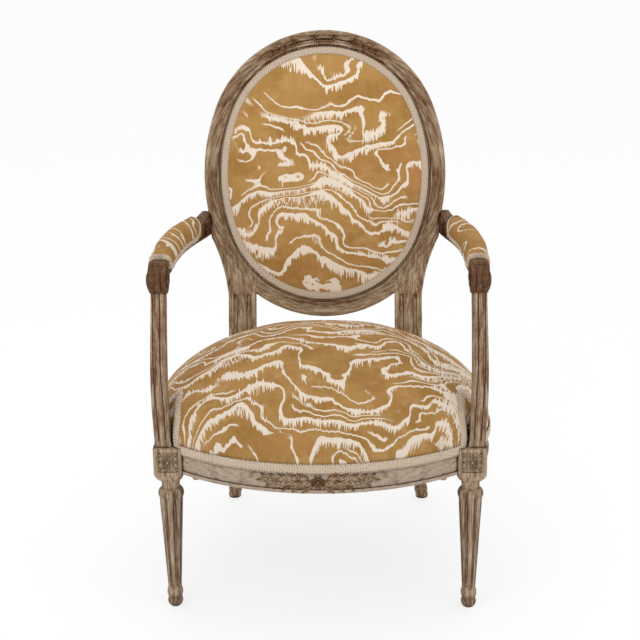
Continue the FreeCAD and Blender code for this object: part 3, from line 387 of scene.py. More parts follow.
# wandering lines with combed edges, as on watered silk
def wateredCloth(name, seed, shade=1.0, lined=1.0, teeth=1.0):
    material, start, shader = begun(name)
    u, v = start.spread("UVMap", {"uv_map": "cloth"})[:2]
    shifted = seed * 3.7
    look = clothLooks
    # shade dims every colour; the seat and arm copies use it as painted shade, since their tops catch more
    # light
    ochre, brass, clay, straw, pale = [tint(colour, shade) for colour in look["colours"]]

    def field(wideScale, highScale, extra, detail=1.0, rough=0.45, warp=0.0, at=None):
        spot = start.point(u * wideScale, (v if at is None else at) * highScale, shifted + extra)
        return start.noise(spot, 1.0, detail, rough, warp)

    def levelAt(at):
        level = at * look["linesPerMetre"] + (field(4.4, 5.6, 9, 1.2, 0.4, 0.5, at) - 0.5) * 6.0
        level = level + (field(12.0, 17.0, 4, at=at) - 0.5) * 1.7
        return level + (field(90, 45, 1, 2.0, at=at) - 0.5) * 0.2

    def crossed(reach):  # 1 where a line lies between here and that far up or down
        there = levelAt(v + reach)
        step = start.sum("FLOOR", there) - start.sum("FLOOR", level)
        crowded = abs(there - level).fade(0.6, 0.8)
        return start.sum("MINIMUM", abs(step), 1.0) * (1 - crowded)

    level = levelAt(v)
    phase = start.sum("FRACT", level)
    comb = field(1 / look["combPitch"], 9, 0, 1.0, 0.4).fade(0.3, 0.74)
    fineComb = field(2.1 / look["combPitch"], 12, 7, 1.0, 0.4).fade(0.3, 0.75)
    ragged = field(10.0, 15.0, 5).fade(0.38, 0.6)
    patch = field(8.0, 11.0, 21).fade(0.5, 0.66)
    hanging = (ragged * 0.8 + patch * 0.9 + 0.12) * (comb * 0.8 + fineComb * 0.2)
    hanging = hanging * (look["tooth"] * teeth) + 0.0012
    standing = field(9.0, 13.0, 15).fade(0.5, 0.66) * comb * (look["tooth"] * teeth * 0.7)
    standing = standing + patch * (look["patch"] * teeth * 0.4)
    ivory = crossed(hanging).most(crossed(standing * -1.0))
    thin = (phase - 0.03 - 0.03 * teeth - ragged * 0.03).fade(0.012, -0.012)
    ivory = ivory.most(thin) * field(6.0, 13.0, 33).fade(0.34, 0.38)
    second = abs(phase - 0.34 - ragged * fineComb * 0.07).fade(0.05, 0.034)
    second = second * field(4.0, 10.0, 44).fade(0.47, 0.5)
    third = abs(phase - 0.66 + ragged * fineComb * 0.1).fade(0.045, 0.03)
    third = third * field(5.0, 11.0, 51).fade(0.54, 0.57)
    ivory = ivory.most(second.most(third)) * lined
    cloudy = field(12, 16, 60, 3.0, 0.6)
    brushed = field(380, 26, 66, 2.0)
    colour = start.blend(cloudy.fade(0.36, 0.66), ochre, brass)
    colour = start.blend(field(9, 13, 50, 2.0).fade(0.5, 0.7) * 0.6, colour, clay)
    colour = start.blend(brushed.fade(0.46, 0.75) * 0.2, colour, straw)
    colour = start.blend(field(26, 40, 71, 3.0, 0.6).fade(0.5, 0.72) * 0.55, colour, straw)
    colour = start.blend(ivory * (brushed * 0.3 + 0.8), colour, pale)
    weave = (u * look["threads"]).sine() * (v * look["threads"]).sine()
    ended(start, shader, colour, 0.88, weave * 0.12 + brushed * 0.4 + ivory * 0.3, 0.0004)
    return material


def plainCloth(name, first, second, pitch):
    material, start, shader = begun(name)
    x, y, z = start.spread("TexCoord", out=3)
    weave = ((x + z * 0.4) * (math.tau / pitch)).sine() * ((y + z * 0.6) * (math.tau / pitch)).sine()
    cloudy = start.noise(start.point(x * 30, y * 30, z * 30), 1.0, 3.0)
    colour = start.blend((cloudy * 0.7 + weave * 0.18 + 0.1).fade(0.3, 0.7), tint(first), tint(second))
    ended(start, shader, colour, 0.9, weave * 0.5 + cloudy * 0.5, 0.0004)
    return material


def metalFinish(name, first, second, rough):
    material, start, shader = begun(name)
    cloudy = start.noise(start.node("TexCoord", out=3), 260.0, 3.0)
    colour = start.blend(cloudy.fade(0.35, 0.65), tint(first), tint(second))
    shader.inputs["Metallic"].default_value = 1.0
    ended(start, shader, colour, rough, cloudy, 0.0001)
    return material


braidLooks = {"thread": (224, 207, 188), "shade": (186, 165, 140), "pitShade": (128, 104, 80), "pitch": 0.0052,
              "bead": 0.0029}


def braidFinish(name):
    material, start, shader = begun(name)
    thread, shade, pitShade = [tint(braidLooks[key]) for key in ("thread", "shade", "pitShade")]
    u, v = start.spread("UVMap", {"uv_map": "cloth"})[:2]
    plait = (u * (math.tau / braidLooks["pitch"]) + abs(v - 0.25) * 26).sine()
    fibre = start.noise(start.point(u * 1500, v * 30, 0.0), 1.0, 2.0)
    cloudy = start.noise(start.point(u * 40, v * 2, 0.0), 1.0, 2.0)
    colour = start.blend((plait * 0.35 + fibre * 0.5 + 0.35).fade(0.2, 0.9), shade, thread)
    colour = start.blend(cloudy.fade(0.55, 0.75) * 0.35, colour, shade)
    # painted shade: a row of dark pits between the braid's beads, where shade falls between its loops
    bead = (u * (math.tau / braidLooks["bead"]) + abs(v - 0.4) * 9).sine().fade(0.25, -0.75)
    rows = (v * 39).sine().fade(0.1, 0.8)
    colour = start.blend(bead * (rows * 0.4 + 0.3), colour, pitShade)
    # painted shade: ambient occlusion darkens the braid's recesses to the pit colour
    occlusionShade = start.node("AmbientOcclusion", {"samples": 4}, {"Distance": 0.002}, 1)
    colour = start.blend(occlusionShade.fade(0.9, 0.5), colour, pitShade)
    ended(start, shader, colour, 0.9, plait * 0.5 + fibre * 0.5, 0.0005)
    return material


print("making the finishes")
ovalWood = woodFinish("rubbed_paint_oval", "oval", 0.49, 0.85)
# painted light: the oval's low rail gets more pale paint, lighter to make up for its faces turned down
lightenedLowOvalWood = woodFinish("rubbed_paint_low_oval", "oval", 0.72, 0.7)
postWood = woodFinish("rubbed_paint_post", "post", 0.6, 0.7)
legWood = woodFinish("rubbed_paint_leg", "leg", 0.66, 0.6, 0.25)
stumpWood = woodFinish("rubbed_paint_support", "support", 0.56, 0.6, 0.3)
railWood = woodFinish("rubbed_paint_rail", "seat", 0.78, 0.5, 0.55)
armWood = woodFinish("rubbed_paint_arm", "arm", 0.16, 0.9, 0.0, 0.86)
carvedWood = woodFinish("rubbed_paint_carving", "seat", 0.52, 0.7)
bareWood = woodFinish("bare_wood", "arm", -0.4, 0.3)
# painted shade: the seat and the arms get darker copies of the cloth, as their tops catch more light
seatCloth = wateredCloth("watered_cloth_seat", 1.0, 0.94)
backCloth = wateredCloth("watered_cloth_back", 2.0)
armCloth = wateredCloth("watered_cloth_arms", 3.0, 0.93, 1.0, 0.25)
plainOchre = wateredCloth("plain_ochre_cloth", 5.0, 1.0, 0.0)
braidThread = braidFinish("cream_braid")
jute = plainCloth("jute_webbing", (150, 118, 74), (182, 150, 102), 0.003)
canvas = plainCloth("canvas", (186, 166, 132), (206, 190, 160), 0.002)
blackLining = plainCloth("black_lining", (30, 29, 28), (48, 46, 44), 0.0018)
steel = metalFinish("spring_steel", (120, 118, 114), (150, 148, 144), 0.42)
bluedSteel = metalFinish("blued_tack", (46, 48, 56), (70, 72, 82), 0.45)

nodeFinishes = {  # by words in a solid's name, where a later row takes over from an earlier one
    "crest_rail": ovalWood, "back_bottom_rail": lightenedLowOvalWood, "rear_leg": postWood, "front_leg": legWood,
    "arm_support": stumpWood, "front_rail": railWood, "rear_rail": railWood, "side_rail": railWood,
    "arm_rail": armWood, "corner_brace": bareWood, "pegs": bareWood, "dowels": bareWood, "springs": steel,
    "screws": steel, "webbing": jute, "canvas": canvas, "tacks": bluedSteel,
}
for words, finish in nodeFinishes.items():
    for nodeName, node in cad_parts.items():
        if words in nodeName:
            node.data.materials.clear()
            node.data.materials.append(finish)

# the stuffed pieces: the seat starts from its solid, the back and the arms from forms built here, and all
# swell as cloth under pressure while their edges are held

swelling = {"quality": 4, "mass": 0.25, "bending_stiffness": 0.6, "use_pressure": True,
            "uniform_pressure_force": 1.5, "vertex_group_mass": "edge"}
smoothRounds, lastMoment = 2, 20


def stuffed(name, piece, look, held):
    outward(piece)
    if "grow" in look:
        applied(piece, "DISPLACE", strength=look["grow"], mid_level=0.0)
    applied(piece, "REMESH", mode="VOXEL", voxel_size=look["voxel"])
    applied(piece, "SMOOTH", factor=0.5, iterations=smoothRounds)
    before = [vertex.co.copy() for vertex in piece.data.vertices]
    group = piece.vertex_groups.new(name="edge")
    group.add([vertex.index for vertex in piece.data.vertices if held(vertex.co)], 1.0, "REPLACE")
    cloth = piece.modifiers.new("cloth", "CLOTH")
    settings = cloth.settings
    for key, value in swelling.items():
        setattr(settings, key, value)
    settings.tension_stiffness = settings.compression_stiffness = look["stiff"]
    settings.shear_stiffness = look["stiff"] / 3
    settings.effector_weights.gravity = 0
    cloth.point_cache.frame_start, cloth.point_cache.frame_end = 1, lastMoment
    alone(piece)
    for moment in range(1, lastMoment + 1):
        bpy.context.scene.frame_set(moment)
    bpy.ops.object.modifier_apply(modifier=cloth.name)
    bpy.context.scene.frame_set(1)
    furthest = 0
    for vertex, old in zip(piece.data.vertices, before):
        step = vertex.co - old
        if step.length > look["cap"]:
            vertex.co = old + step * (look["cap"] / step.length)
        furthest = max(furthest, step.length)
    piece.vertex_groups.clear()
    print("stuffed", name, len(before), "points, furthest move", round(furthest * 1000, 1), "mm")
    return piece


def clothMap(piece, layOut):
    uv = piece.data.uv_layers.new(name="cloth")
    for loop, spot in zip(piece.data.loops, uv.data):
        spot.uv = layOut(piece.data.vertices[loop.vertex_index].co)
    return piece


def dressed(piece, layOut, cloth, *nodes):
    clothMap(piece, layOut)
    smoothed(piece, 75)
    return finished(piece, cloth, "cover_fabric", *nodes)


seatLook = {"grow": 0.0012, "voxel": 0.0052, "stiff": 18, "cap": 0.0035, "crown": 0.480, "heldBelow": 0.322}
backLook = {"voxel": 0.0046, "stiff": 18, "cap": 0.003, "heldBehind": 0.002,
            "skirt": ((0.0385, 0.0012), (0.0425, 0.0), (0.0465, -0.0012)), "inset": 0.049, "base": -0.0016,
            "crown": 0.0258, "hem": ((0.0362, 0.0022), (0.0362, -0.0012), (0.0372, -0.002), (0.04, -0.0023),
                                     (0.045, -0.0023), (0.0495, -0.0023), (0.0495, 0.0022))}
padLook = {"voxel": 0.0032, "stiff": 15, "cap": 0.0015, "heldBelow": 0.618, "shoulder": 0.021,
           "bulge": 0.0012}


def seatMap(spot):  # spread from the crown outwards
    x, y = spot.x, spot.y - seatMiddleY
    reach = math.hypot(x, y)
    drop = max(0.0, seatLook["crown"] - spot.z)
    length = 0.5 * (reach + drop) + 0.5 * math.hypot(reach, drop)
    return (x * length / reach, y * length / reach) if reach > 1e-6 else (0.0, 0.0)


def backMap(spot):
    return spot.x + 0.4, upTheBack(spot.y, spot.z) + 0.3


def padMap(spot):
    return spot.x * 1.2 + (0.9 if spot.x > 0 else 1.9), spot.y * 0.62 + (spot.z - 0.63) * 0.7


print("stuffing the seat")
seat = placed("seat_cushion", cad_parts["seat_stuffing"].data.copy())
seat.data.materials.clear()
stuffed("seat_cushion", seat, seatLook, lambda spot: spot.z < seatLook["heldBelow"])
dressed(seat, seatMap, seatCloth, "seat_cover", "seat_stuffing")


def backRow(inset, depth):  # the oval's line, set in by so much, in front of or behind the frame's middle
    return [leaned(x, depth, z) for x, z in ovalLine(inset)]


def backCushion():
    rows = [backRow(backLook["skirt"][0][0], 0.0018)] + [backRow(*spot) for spot in backLook["skirt"]]
    for degrees in (3, 8, 14, 20, 27, 34, 42, 50, 58, 66, 74, 82):
        turn = math.radians(degrees)
        share, depth = math.cos(turn), backLook["base"] - backLook["crown"] * math.sin(turn)
        rows.append([leaned(x * share, depth, z * share) for x, z in ovalLine(backLook["inset"])])
    return skin("back_cushion", rows)


def heldAtBack(spot):
    return (spot - leaned(0, 0, 0)).dot(forwardOfBack) < backLook["heldBehind"]


print("stuffing the back")
backSolid = stuffed("back_cushion", backCushion(), backLook, heldAtBack)
hem = skin("back_hem", [backRow(*spot) for spot in backLook["hem"]], True, True)
outward(hem)  # the cloth's flat edge under the braid, over the tacks
joined([backSolid, hem])
dressed(backSolid, backMap, backCloth, "back_cover", "back_stuffing")

armTables = {
    "share": (0.07, 0.15, 0.32, 0.52, 0.71, 0.85, 1.0), "x": (0.979, 0.985, 0.993, 0.982, 0.945, 0.9, 0.86),
    "fall": (0.0, 0.0, 0.05, 0.25, 0.5, 0.75, 1.0), "width": (0.8, 0.95, 1.02, 1.02, 1.0, 0.84, 0.62),
    "rise": (0.9, 0.95, 1.0, 1.03, 1.02, 0.98, 0.94), "padHeight": 0.048,
    "spread": 0.282, "reach": 0.478, "under": 0.606, "drop": 0.012, "half": 0.019,
    "padFront": 0.1, "padBack": 0.8, "woodHeight": 0.026, "lip": 0.0063,
}


def armValue(share, key):
    shares, values = armTables["share"], armTables[key]
    for low, high, a, b in zip(shares, shares[1:], values, values[1:]):
        if share <= high:
            return a + (b - a) * (share - low) / (high - low)
    return values[-1]


def armSpot(share, sign, across, up):  # a point beside the arm's own middle line
    middle = Vector((armTables["spread"] * armValue(share, "x"), armTables["reach"] * share - place["shiftY"],
                     armTables["under"] - armTables["drop"] * armValue(share, "fall")))
    bend = armValue(min(share + 0.02, 1), "x") - armValue(max(share - 0.02, 0.07), "x")
    ahead = armTables["spread"] * bend
    run = Vector((ahead, armTables["reach"] * 0.04, 0)).normalized()
    spot = middle + Vector((run.y, -run.x, 0)) * across + Vector((0, 0, up))
    return Vector((spot.x * sign, spot.y, spot.z))


def padForm(name, sign):
    first, last = armTables["padFront"], armTables["padBack"]
    places = [(first, 0.0045), (first + 0.004, 0.0015), (first + 0.014, 0)]
    places += [(first + (last - first) * step / 16, 0) for step in range(1, 16)]
    places += [(last - 0.014, 0), (last - 0.004, 0.0015), (last, 0.0045)]
    rows = []
    low, side = armTables["lip"], padLook["shoulder"]
    for share, shrink in places:
        half = armTables["half"] * armValue(share, "width") - shrink + padLook["bulge"]
        top = armTables["padHeight"] * armValue(share, "rise") - shrink
        points = [(half - 0.0006, low), (half, (low + side) / 2)]
        for step in range(15):
            turn = math.pi * step / 14
            points.append((half * math.cos(turn), side + (top - side) * math.sin(turn)))
        points += [(-half, (low + side) / 2), (0.0006 - half, low)]
        rows.append([armSpot(share, sign, across, up) for across, up in points])
    return skin(name, rows)


print("stuffing the arms")
pads = {}
for side, sign in sides:
    name = "arm_cushion_" + side
    pad = stuffed(name, padForm(name, sign), padLook, lambda spot: spot.z < padLook["heldBelow"])
    dressed(pad, padMap, armCloth, "arm_pad_cover_" + side, "arm_pad_stuffing_" + side)
    pads[side] = pad


# the braid: a plaited band with looped edges

braidShape = {"half": 0.0049, "thick": 0.0017, "loop": 0.0031, "pitch": 0.0043, "step": 0.00095,
              "plait": 0.0006, "tuck": 0.0002, "armShare": 0.68, "seatShare": 1.14}


def even(path, step, closed):  # points at even steps along a line, with their outward directions
    points = path + [path[0]] if closed else path
    lengths = [0.0]
    for (a, _), (b, _) in zip(points, points[1:]):
        lengths.append(lengths[-1] + (b - a).length)
    count = max(4, round(lengths[-1] / step))
    out, index = [], 0
    for k in range(count if closed else count + 1):
        goal = lengths[-1] * k / count
        while index < len(lengths) - 2 and lengths[index + 1] < goal:
            index += 1
        part = (goal - lengths[index]) / max(lengths[index + 1] - lengths[index], 1e-9)
        (a, facingA), (b, facingB) = points[index], points[index + 1]
        out.append((a.lerp(b, part), facingA.lerp(facingB, part).normalized()))
    return out, lengths[-1] / count


def braid(name, path, closed, *nodes, share=1.0):
    look = braidShape
    spots, step = even(path, look["step"], closed)
    rows, lengths = [], []
    for index, (point, facing) in enumerate(spots):
        before = spots[index - 1][0] if closed or index else point
        after = spots[(index + 1) % len(spots)][0] if closed or index < len(spots) - 1 else point
        along = (after - before).normalized()
        sideways = along.cross(facing).normalized()
        length = index * step
        loop = abs(math.sin(math.pi * length / look["pitch"])) ** 0.8
        half = (look["half"] + look["loop"] * loop) * share
        row = []
        for across in (-1.0, -0.86, -0.7, -0.5, -0.3, -0.1, 0.1, 0.3, 0.5, 0.7, 0.86, 1.0):
            turn = 2 * math.pi * length / (look["pitch"] * 1.3)
            high = look["thick"] * (1 - abs(across) ** 5 * 0.6)
            high += look["plait"] * math.sin(turn + 5 * abs(across)) * (1 if abs(across) < 0.75 else 0.4)
            row.append(point + sideways * (half * across) + facing * high)
        row += [point + sideways * (half * across) - facing * look["tuck"] for across in (0.98, -0.98)]
        rows.append(row)
        lengths.append(length)
    lengths.append(len(spots) * step)
    piece = skin(name, rows, True, closed, lengths)
    outward(piece)
    smoothed(piece, 60)
    return finished(piece, braidThread, "braid", *nodes)


print("laying the braid")
seatTree = BVHTree.FromObject(seat, bpy.context.evaluated_depsgraph_get())


def onCushion(tree, guess, lift=0.0004):
    spot, normal, _, _ = tree.find_nearest(guess)
    return spot + normal * lift, normal


edgeLine = seatLine(0.0001)
count = len(edgeLine)
edgePath = []
for index, point in enumerate(edgeLine):
    along = (edgeLine[(index + 1) % count] - edgeLine[index - 1]).normalized()
    edgePath.append((Vector((point.x, point.y, place["tackLine"] + place["braidWidth"] / 2)),
                     Vector((along.y, -along.x, 0))))

braidPlaces = {"stumpInner": 0.2578, "stumpBehind": 0.0235, "postOuter": 0.1985, "postInner": 0.1405,
               "postFront": 0.372, "postClear": 0.2}


def softened(path):  # rounds the corners of an open line
    middle = []
    for (a, n), (b, m) in zip(path, path[1:]):
        middle += [(a.lerp(b, 0.25), n.lerp(m, 0.25)), (a.lerp(b, 0.75), n.lerp(m, 0.75))]
    return [path[0]] + middle + [path[-1]]


def notchPath(sign):  # up beside the arm support, round behind it and down to the side
    half = braidShape["half"] + 0.001
    inner = braidPlaces["stumpInner"] - half
    behind = braidPlaces["stumpBehind"] + half - place["shiftY"]
    front = min((p for p in edgeLine if p.x > 0 and p.y < -0.1), key=lambda p: abs(p.x - inner))
    guesses = [Vector((sign * inner, front.y - 0.001, 0.322)), Vector((sign * inner, front.y, 0.334))]
    for share in (0.12, 0.25, 0.4, 0.55, 0.7, 0.85):
        y = front.y + (behind - front.y) * share
        guesses.append(Vector((sign * inner, y, 0.36 + 0.05 * share)))
    guesses.append(Vector((sign * (inner + 0.004), behind, 0.40)))
    for x in (0.27, 0.283, 0.292):
        guesses.append(Vector((sign * x, behind + 0.002, 0.39 - (x - 0.27) * 2.4)))
    return [onCushion(seatTree, guess) for guess in guesses]


stumpInner = braidPlaces["stumpInner"] - 0.006
frontPart = [spot for spot in edgePath if spot[0].y < -0.1 and abs(spot[0].x) < stumpInner]
frontPart.sort(key=lambda spot: spot[0].x)
leftUp, rightUp = notchPath(-1), notchPath(1)
wholeFront = list(reversed(leftUp)) + frontPart + rightUp
braid("seat_braid_front", softened(wholeFront), False, "seat_gimp", share=braidShape["seatShare"])
behindY = braidPlaces["stumpBehind"] - place["shiftY"]
postFront = braidPlaces["postFront"] - place["shiftY"]
for side, sign in sides:
    part = [spot for spot in edgePath if spot[0].x * sign > braidPlaces["postOuter"] and spot[0].y > behindY]
    part = [spot for spot in part if spot[0].y < postFront or spot[0].x * sign > braidPlaces["postClear"]]
    part.sort(key=lambda spot: spot[0].y)
    braid("seat_braid_" + side, part, False, share=braidShape["seatShare"])
rearPart = [spot for spot in edgePath if abs(spot[0].x) < braidPlaces["postInner"] and spot[0].y > 0.1]
rearPart.sort(key=lambda spot: -spot[0].x)
braid("seat_braid_rear", rearPart, False, share=braidShape["seatShare"])

braid("back_braid", [(point, forwardOfBack) for point in backRow(0.0423, -0.0026)], True, "back_gimp")
outsidePath = [(point, -forwardOfBack) for point in backRow(0.0426, 0.0242)]
braid("outside_back_braid", outsidePath, True, "outside_back_gimp")

# the arm pads' braid, as places along, across and above the arm: down one side, round the rear end, back up
# the other side and round the front
halfBraid = place["braidWidth"] * braidShape["armShare"] / 2
low, top = armTables["lip"] + halfBraid, armTables["woodHeight"] + halfBraid
first, last = armTables["padFront"], armTables["padBack"]
along = [first + 0.05 + (last - first - 0.14) * k / 24 for k in range(25)]
frontTurn = ((0.036, 1.1, low), (0.024, 1.1, low + 0.001), (0.016, 1.12, low + 0.005),
             (0.0115, 1.12, low + 0.0115), (0.0075, 1.0, top - 0.001), (0.0, 0.7, top + 0.002),
             (-0.003, 0.35, top + 0.003))
rearTurn = ((-0.075, 1.1, low + 0.002), (-0.055, 1.1, low + 0.008), (-0.036, 1.1, low + 0.017),
            (-0.02, 1.0, low + 0.026), (-0.012, 0.7, low + 0.034), (-0.009, 0.35, low + 0.04))
corners = [(share, 1.1, low) for share in along]
corners += [(last + step, across, up) for step, across, up in rearTurn] + [(last - 0.009, 0, low + 0.042)]
corners += [(last + step, -across, up) for step, across, up in reversed(rearTurn)]
corners += [(share, -1.1, low) for share in reversed(along)]
corners += [(first + step, -across, up) for step, across, up in frontTurn] + [(first - 0.003, 0, top + 0.003)]
corners += [(first + step, across, up) for step, across, up in reversed(frontTurn)]
for side, sign in sides:
    tree = BVHTree.FromObject(pads[side], bpy.context.evaluated_depsgraph_get())
    guesses = [armSpot(share, sign, armTables["half"] * armValue(share, "width") * across, up)
               for share, across, up in corners]
    path = [onCushion(tree, guess, 0.0003) for guess in guesses]
    braid("arm_braid_" + side, softened(path + [path[0]])[:-1], True, "arm_pad_gimp_" + side,
          share=braidShape["armShare"])

# carving: low ridges and leaves that lie on the wood under them

carveLook = {
    "sink": 0.0012, "probe": 0.03, "relief": 0.0026,
    "railHeight": 0.2835, "rosette": 0.011, "sprigs": (0.013, 0.031, 0.049, 0.066, 0.081),
    "dropX": 0.2145, "dropZ": 0.2635, "dropSize": (0.0075, 0.0075, 0.0042),
    "crestInset": 0.018, "reedStep": 0.0062, "reedReach": 0.074, "ties": (-0.06, -0.02, 0.02, 0.06),
    "panelHeight": 0.2865, "panelLeaf": 0.016,
    "scrollX": 0.2761, "scrollY": 0.024, "scrollZ": 0.608, "scrollRadius": 0.028,
    "armLeaves": ((0.985, 0.86, 0.030, 0.027, 0.016), (0.985, 0.84, 0.018, 0.017, 0.013),
                  (0.975, 0.85, 0.009, 0.009, 0.009)),
}


class Carving:  # the ridges on one solid, which faces facingAt(point) where they lie
    def __init__(self, nodeName, facingAt=None):
        self.tree = BVHTree.FromObject(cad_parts[nodeName], bpy.context.evaluated_depsgraph_get())
        self.facingAt, self.ridges = facingAt, []

    def drape(self, spot, facing):
        hit = self.tree.ray_cast(spot + facing * carveLook["probe"], -facing, 2 * carveLook["probe"])[0]
        return hit or self.tree.find_nearest(spot)[0]

    def ridge(self, line, widths, height, vein=0.0):
        rows = []
        for index, point in enumerate(line):
            before, after = line[max(index - 1, 0)], line[min(index + 1, len(line) - 1)]
            facing = self.facingAt(point)
            side = (after - before).cross(facing).normalized()
            share = index / (len(line) - 1)
            width = widths[index] if isinstance(widths, list) else widths
            crown = height * math.sin(math.pi * (0.1 + 0.8 * share)) ** 0.6
            row = []
            for across in (-1, -0.8, -0.55, -0.28, 0, 0.28, 0.55, 0.8, 1):
                lift = crown * (1 - abs(across) ** 2.4) - crown * vein * math.exp(-(across / 0.18) ** 2)
                row.append(self.drape(point + side * (across * width / 2), facing) + facing * lift)
            row += [row[8] - facing * carveLook["sink"], row[0] - facing * carveLook["sink"]]
            rows.append(row)
        self.ridges.append(skin("ridge", rows))

    def leaf(self, base, along, length, width, height, bend=0.0):
        side = along.cross(self.facingAt(base)).normalized()
        line, widths = [], []
        for share in steps(10):
            line.append(base + along * (length * share) + side * (bend * share * share))
            lobes = 0.84 + 0.16 * abs(math.sin(3.5 * math.pi * share))
            widths.append(width * max(0.1, math.sin(math.pi * share ** 0.7) ** 0.7 * lobes))
        self.ridge(line, widths, height, 0.5)

    def button(self, middle, width, height):
        along = self.facingAt(middle).orthogonal().normalized()
        line = [middle + along * (width * (share - 0.5)) for share in steps(8)]
        self.ridge(line, [width * max(0.15, math.sin(math.pi * share) ** 0.5) for share in steps(8)], height)

    def done(self, name, material):
        piece = outward(joined(self.ridges), False)
        piece.name = name
        smoothed(piece, 50)
        finished(piece, material, "painted_wood")


print("carving the rails")
railMiddle = Vector((0, place["frontEndY"] - place["frontBow"] + frontRadius - place["shiftY"], 0))


def railSpot(reach, height):
    turn = reach / frontRadius
    return railMiddle + Vector((math.sin(turn) * frontRadius, -math.cos(turn) * frontRadius, height))


def railFacing(point):
    return Vector((point.x - railMiddle.x, point.y - railMiddle.y, 0)).normalized()


def railWay(reach, sign, tilt):
    turn = reach / frontRadius
    level = Vector((math.cos(turn), math.sin(turn), 0)) * sign
    return level * math.cos(math.radians(tilt)) + Vector((0, 0, math.sin(math.radians(tilt))))


# the spray along the front rail, with a rosette in its middle
spray = Carving("front_rail", railFacing)
middleZ = carveLook["railHeight"]
for index in range(8):
    turn = math.radians(45 * index + 22.5)
    way = Vector((math.cos(turn), 0, math.sin(turn)))
    spray.leaf(railSpot(0, middleZ) + way * 0.0025, way, carveLook["rosette"] * 0.85, 0.007, 0.003)
spray.button(railSpot(0, middleZ), 0.0075, 0.004)
for sign in (-1, 1):
    spine = [railSpot(sign * (0.013 + 0.086 * share), middleZ + 0.0045 * math.sin(share * 13))
             for share in steps(24)]
    spray.ridge(spine, [0.0045 * (1.05 - 0.6 * share) for share in steps(24)], 0.0022)
    for index, reach in enumerate(carveLook["sprigs"]):
        size = 1 - 0.08 * index
        for up in (-1, 1):
            start = railSpot(sign * (reach + 0.004 * up), middleZ + up * 0.002)
            way = railWay(sign * reach, sign, up * (34 - 3 * index))
            spray.leaf(start, way, 0.025 * size, 0.0145 * size, carveLook["relief"], -up * sign * 0.005)
    spray.leaf(railSpot(sign * 0.092, middleZ), railWay(sign * 0.092, sign, 0), 0.016, 0.008, 0.002)
spray.done("front_rail_spray", carvedWood)

for side, sign in sides:  # a small drop under each end of the rail
    x = carveLook["dropX"] * sign
    turn = math.asin(x / frontRadius)
    spot = railMiddle + Vector((x, -math.cos(turn) * (frontRadius - 0.009), carveLook["dropZ"]))
    bpy.ops.object.select_all(action="DESELECT")
    bpy.ops.mesh.primitive_uv_sphere_add(segments=24, ring_count=14, radius=1, location=spot,
                                         scale=carveLook["dropSize"])
    drop = settle(bpy.context.object)
    drop.name = "rail_drop_" + side
    smoothed(drop, 60)
    finished(drop, carvedWood, "painted_wood")

for side, sign in sides:  # leaves in the sunk panels of the front blocks
    panel = Carving("front_leg_" + side)
    for out in (Vector((0, -1, 0)), Vector((sign, 0, 0))):
        panel.facingAt = lambda point: out
        level = Vector((0, 0, 1)).cross(out)
        middle = Vector((sign * place["legX"], -place["shiftY"], carveLook["panelHeight"])) + out * halfBlock
        for index in range(8):
            turn = math.radians(45 * index)
            way = level * math.cos(turn) + Vector((0, 0, math.sin(turn)))
            longer, width = (1.15, 0.0082) if index % 2 else (0.86, 0.006)
            panel.leaf(middle + way * 0.0022, way, carveLook["panelLeaf"] * longer, width, 0.0026)
        panel.button(middle, 0.0075, 0.0036)
        for across in (-1, 1):
            for up in (-1, 1):
                panel.button(middle + level * (across * 0.0148) + Vector((0, 0, up * 0.0138)), 0.0046, 0.0022)
    panel.done("block_leaves_" + side, legWood)


def crestSpot(reach, inset):
    radius = place["ovalEndRadius"]
    turn = reach / (radius - carveLook["crestInset"])
    height = place["ovalHalfHeight"] - radius + (radius - inset) * math.cos(turn)
    return leaned((radius - inset) * math.sin(turn), 0, height)


# reeds tied with crossed ribbons on the crest, with leaves at their ends
reeds = Carving("crest_rail", lambda point: forwardOfBack)
middleInset = carveLook["crestInset"]
for index in range(4):
    inset = middleInset + (index - 1.5) * carveLook["reedStep"]
    line = [crestSpot(carveLook["reedReach"] * (2 * share - 1), inset) for share in steps(40)]
    reeds.ridge(line, carveLook["reedStep"] * 0.98, 0.0021)
for reach in carveLook["ties"]:
    for tilt in (-1, 1):
        line = [crestSpot(reach + tilt * 0.011 * (share - 0.5), middleInset + 0.029 * (share - 0.5))
                for share in steps(12)]
        reeds.ridge(line, 0.0052, 0.0036, 0.25)
for sign in (-1, 1):
    for index, reach in enumerate((0.070, 0.082, 0.094)):
        for up in (-1, 1):
            base = crestSpot(sign * reach, middleInset)
            tip = crestSpot(sign * (reach + 0.02), middleInset - up * (0.011 - 0.003 * index))
            reeds.leaf(base, (tip - base).normalized(), 0.022 - 0.002 * index, 0.0105, 0.0028)
reeds.done("crest_reeds", ovalWood)

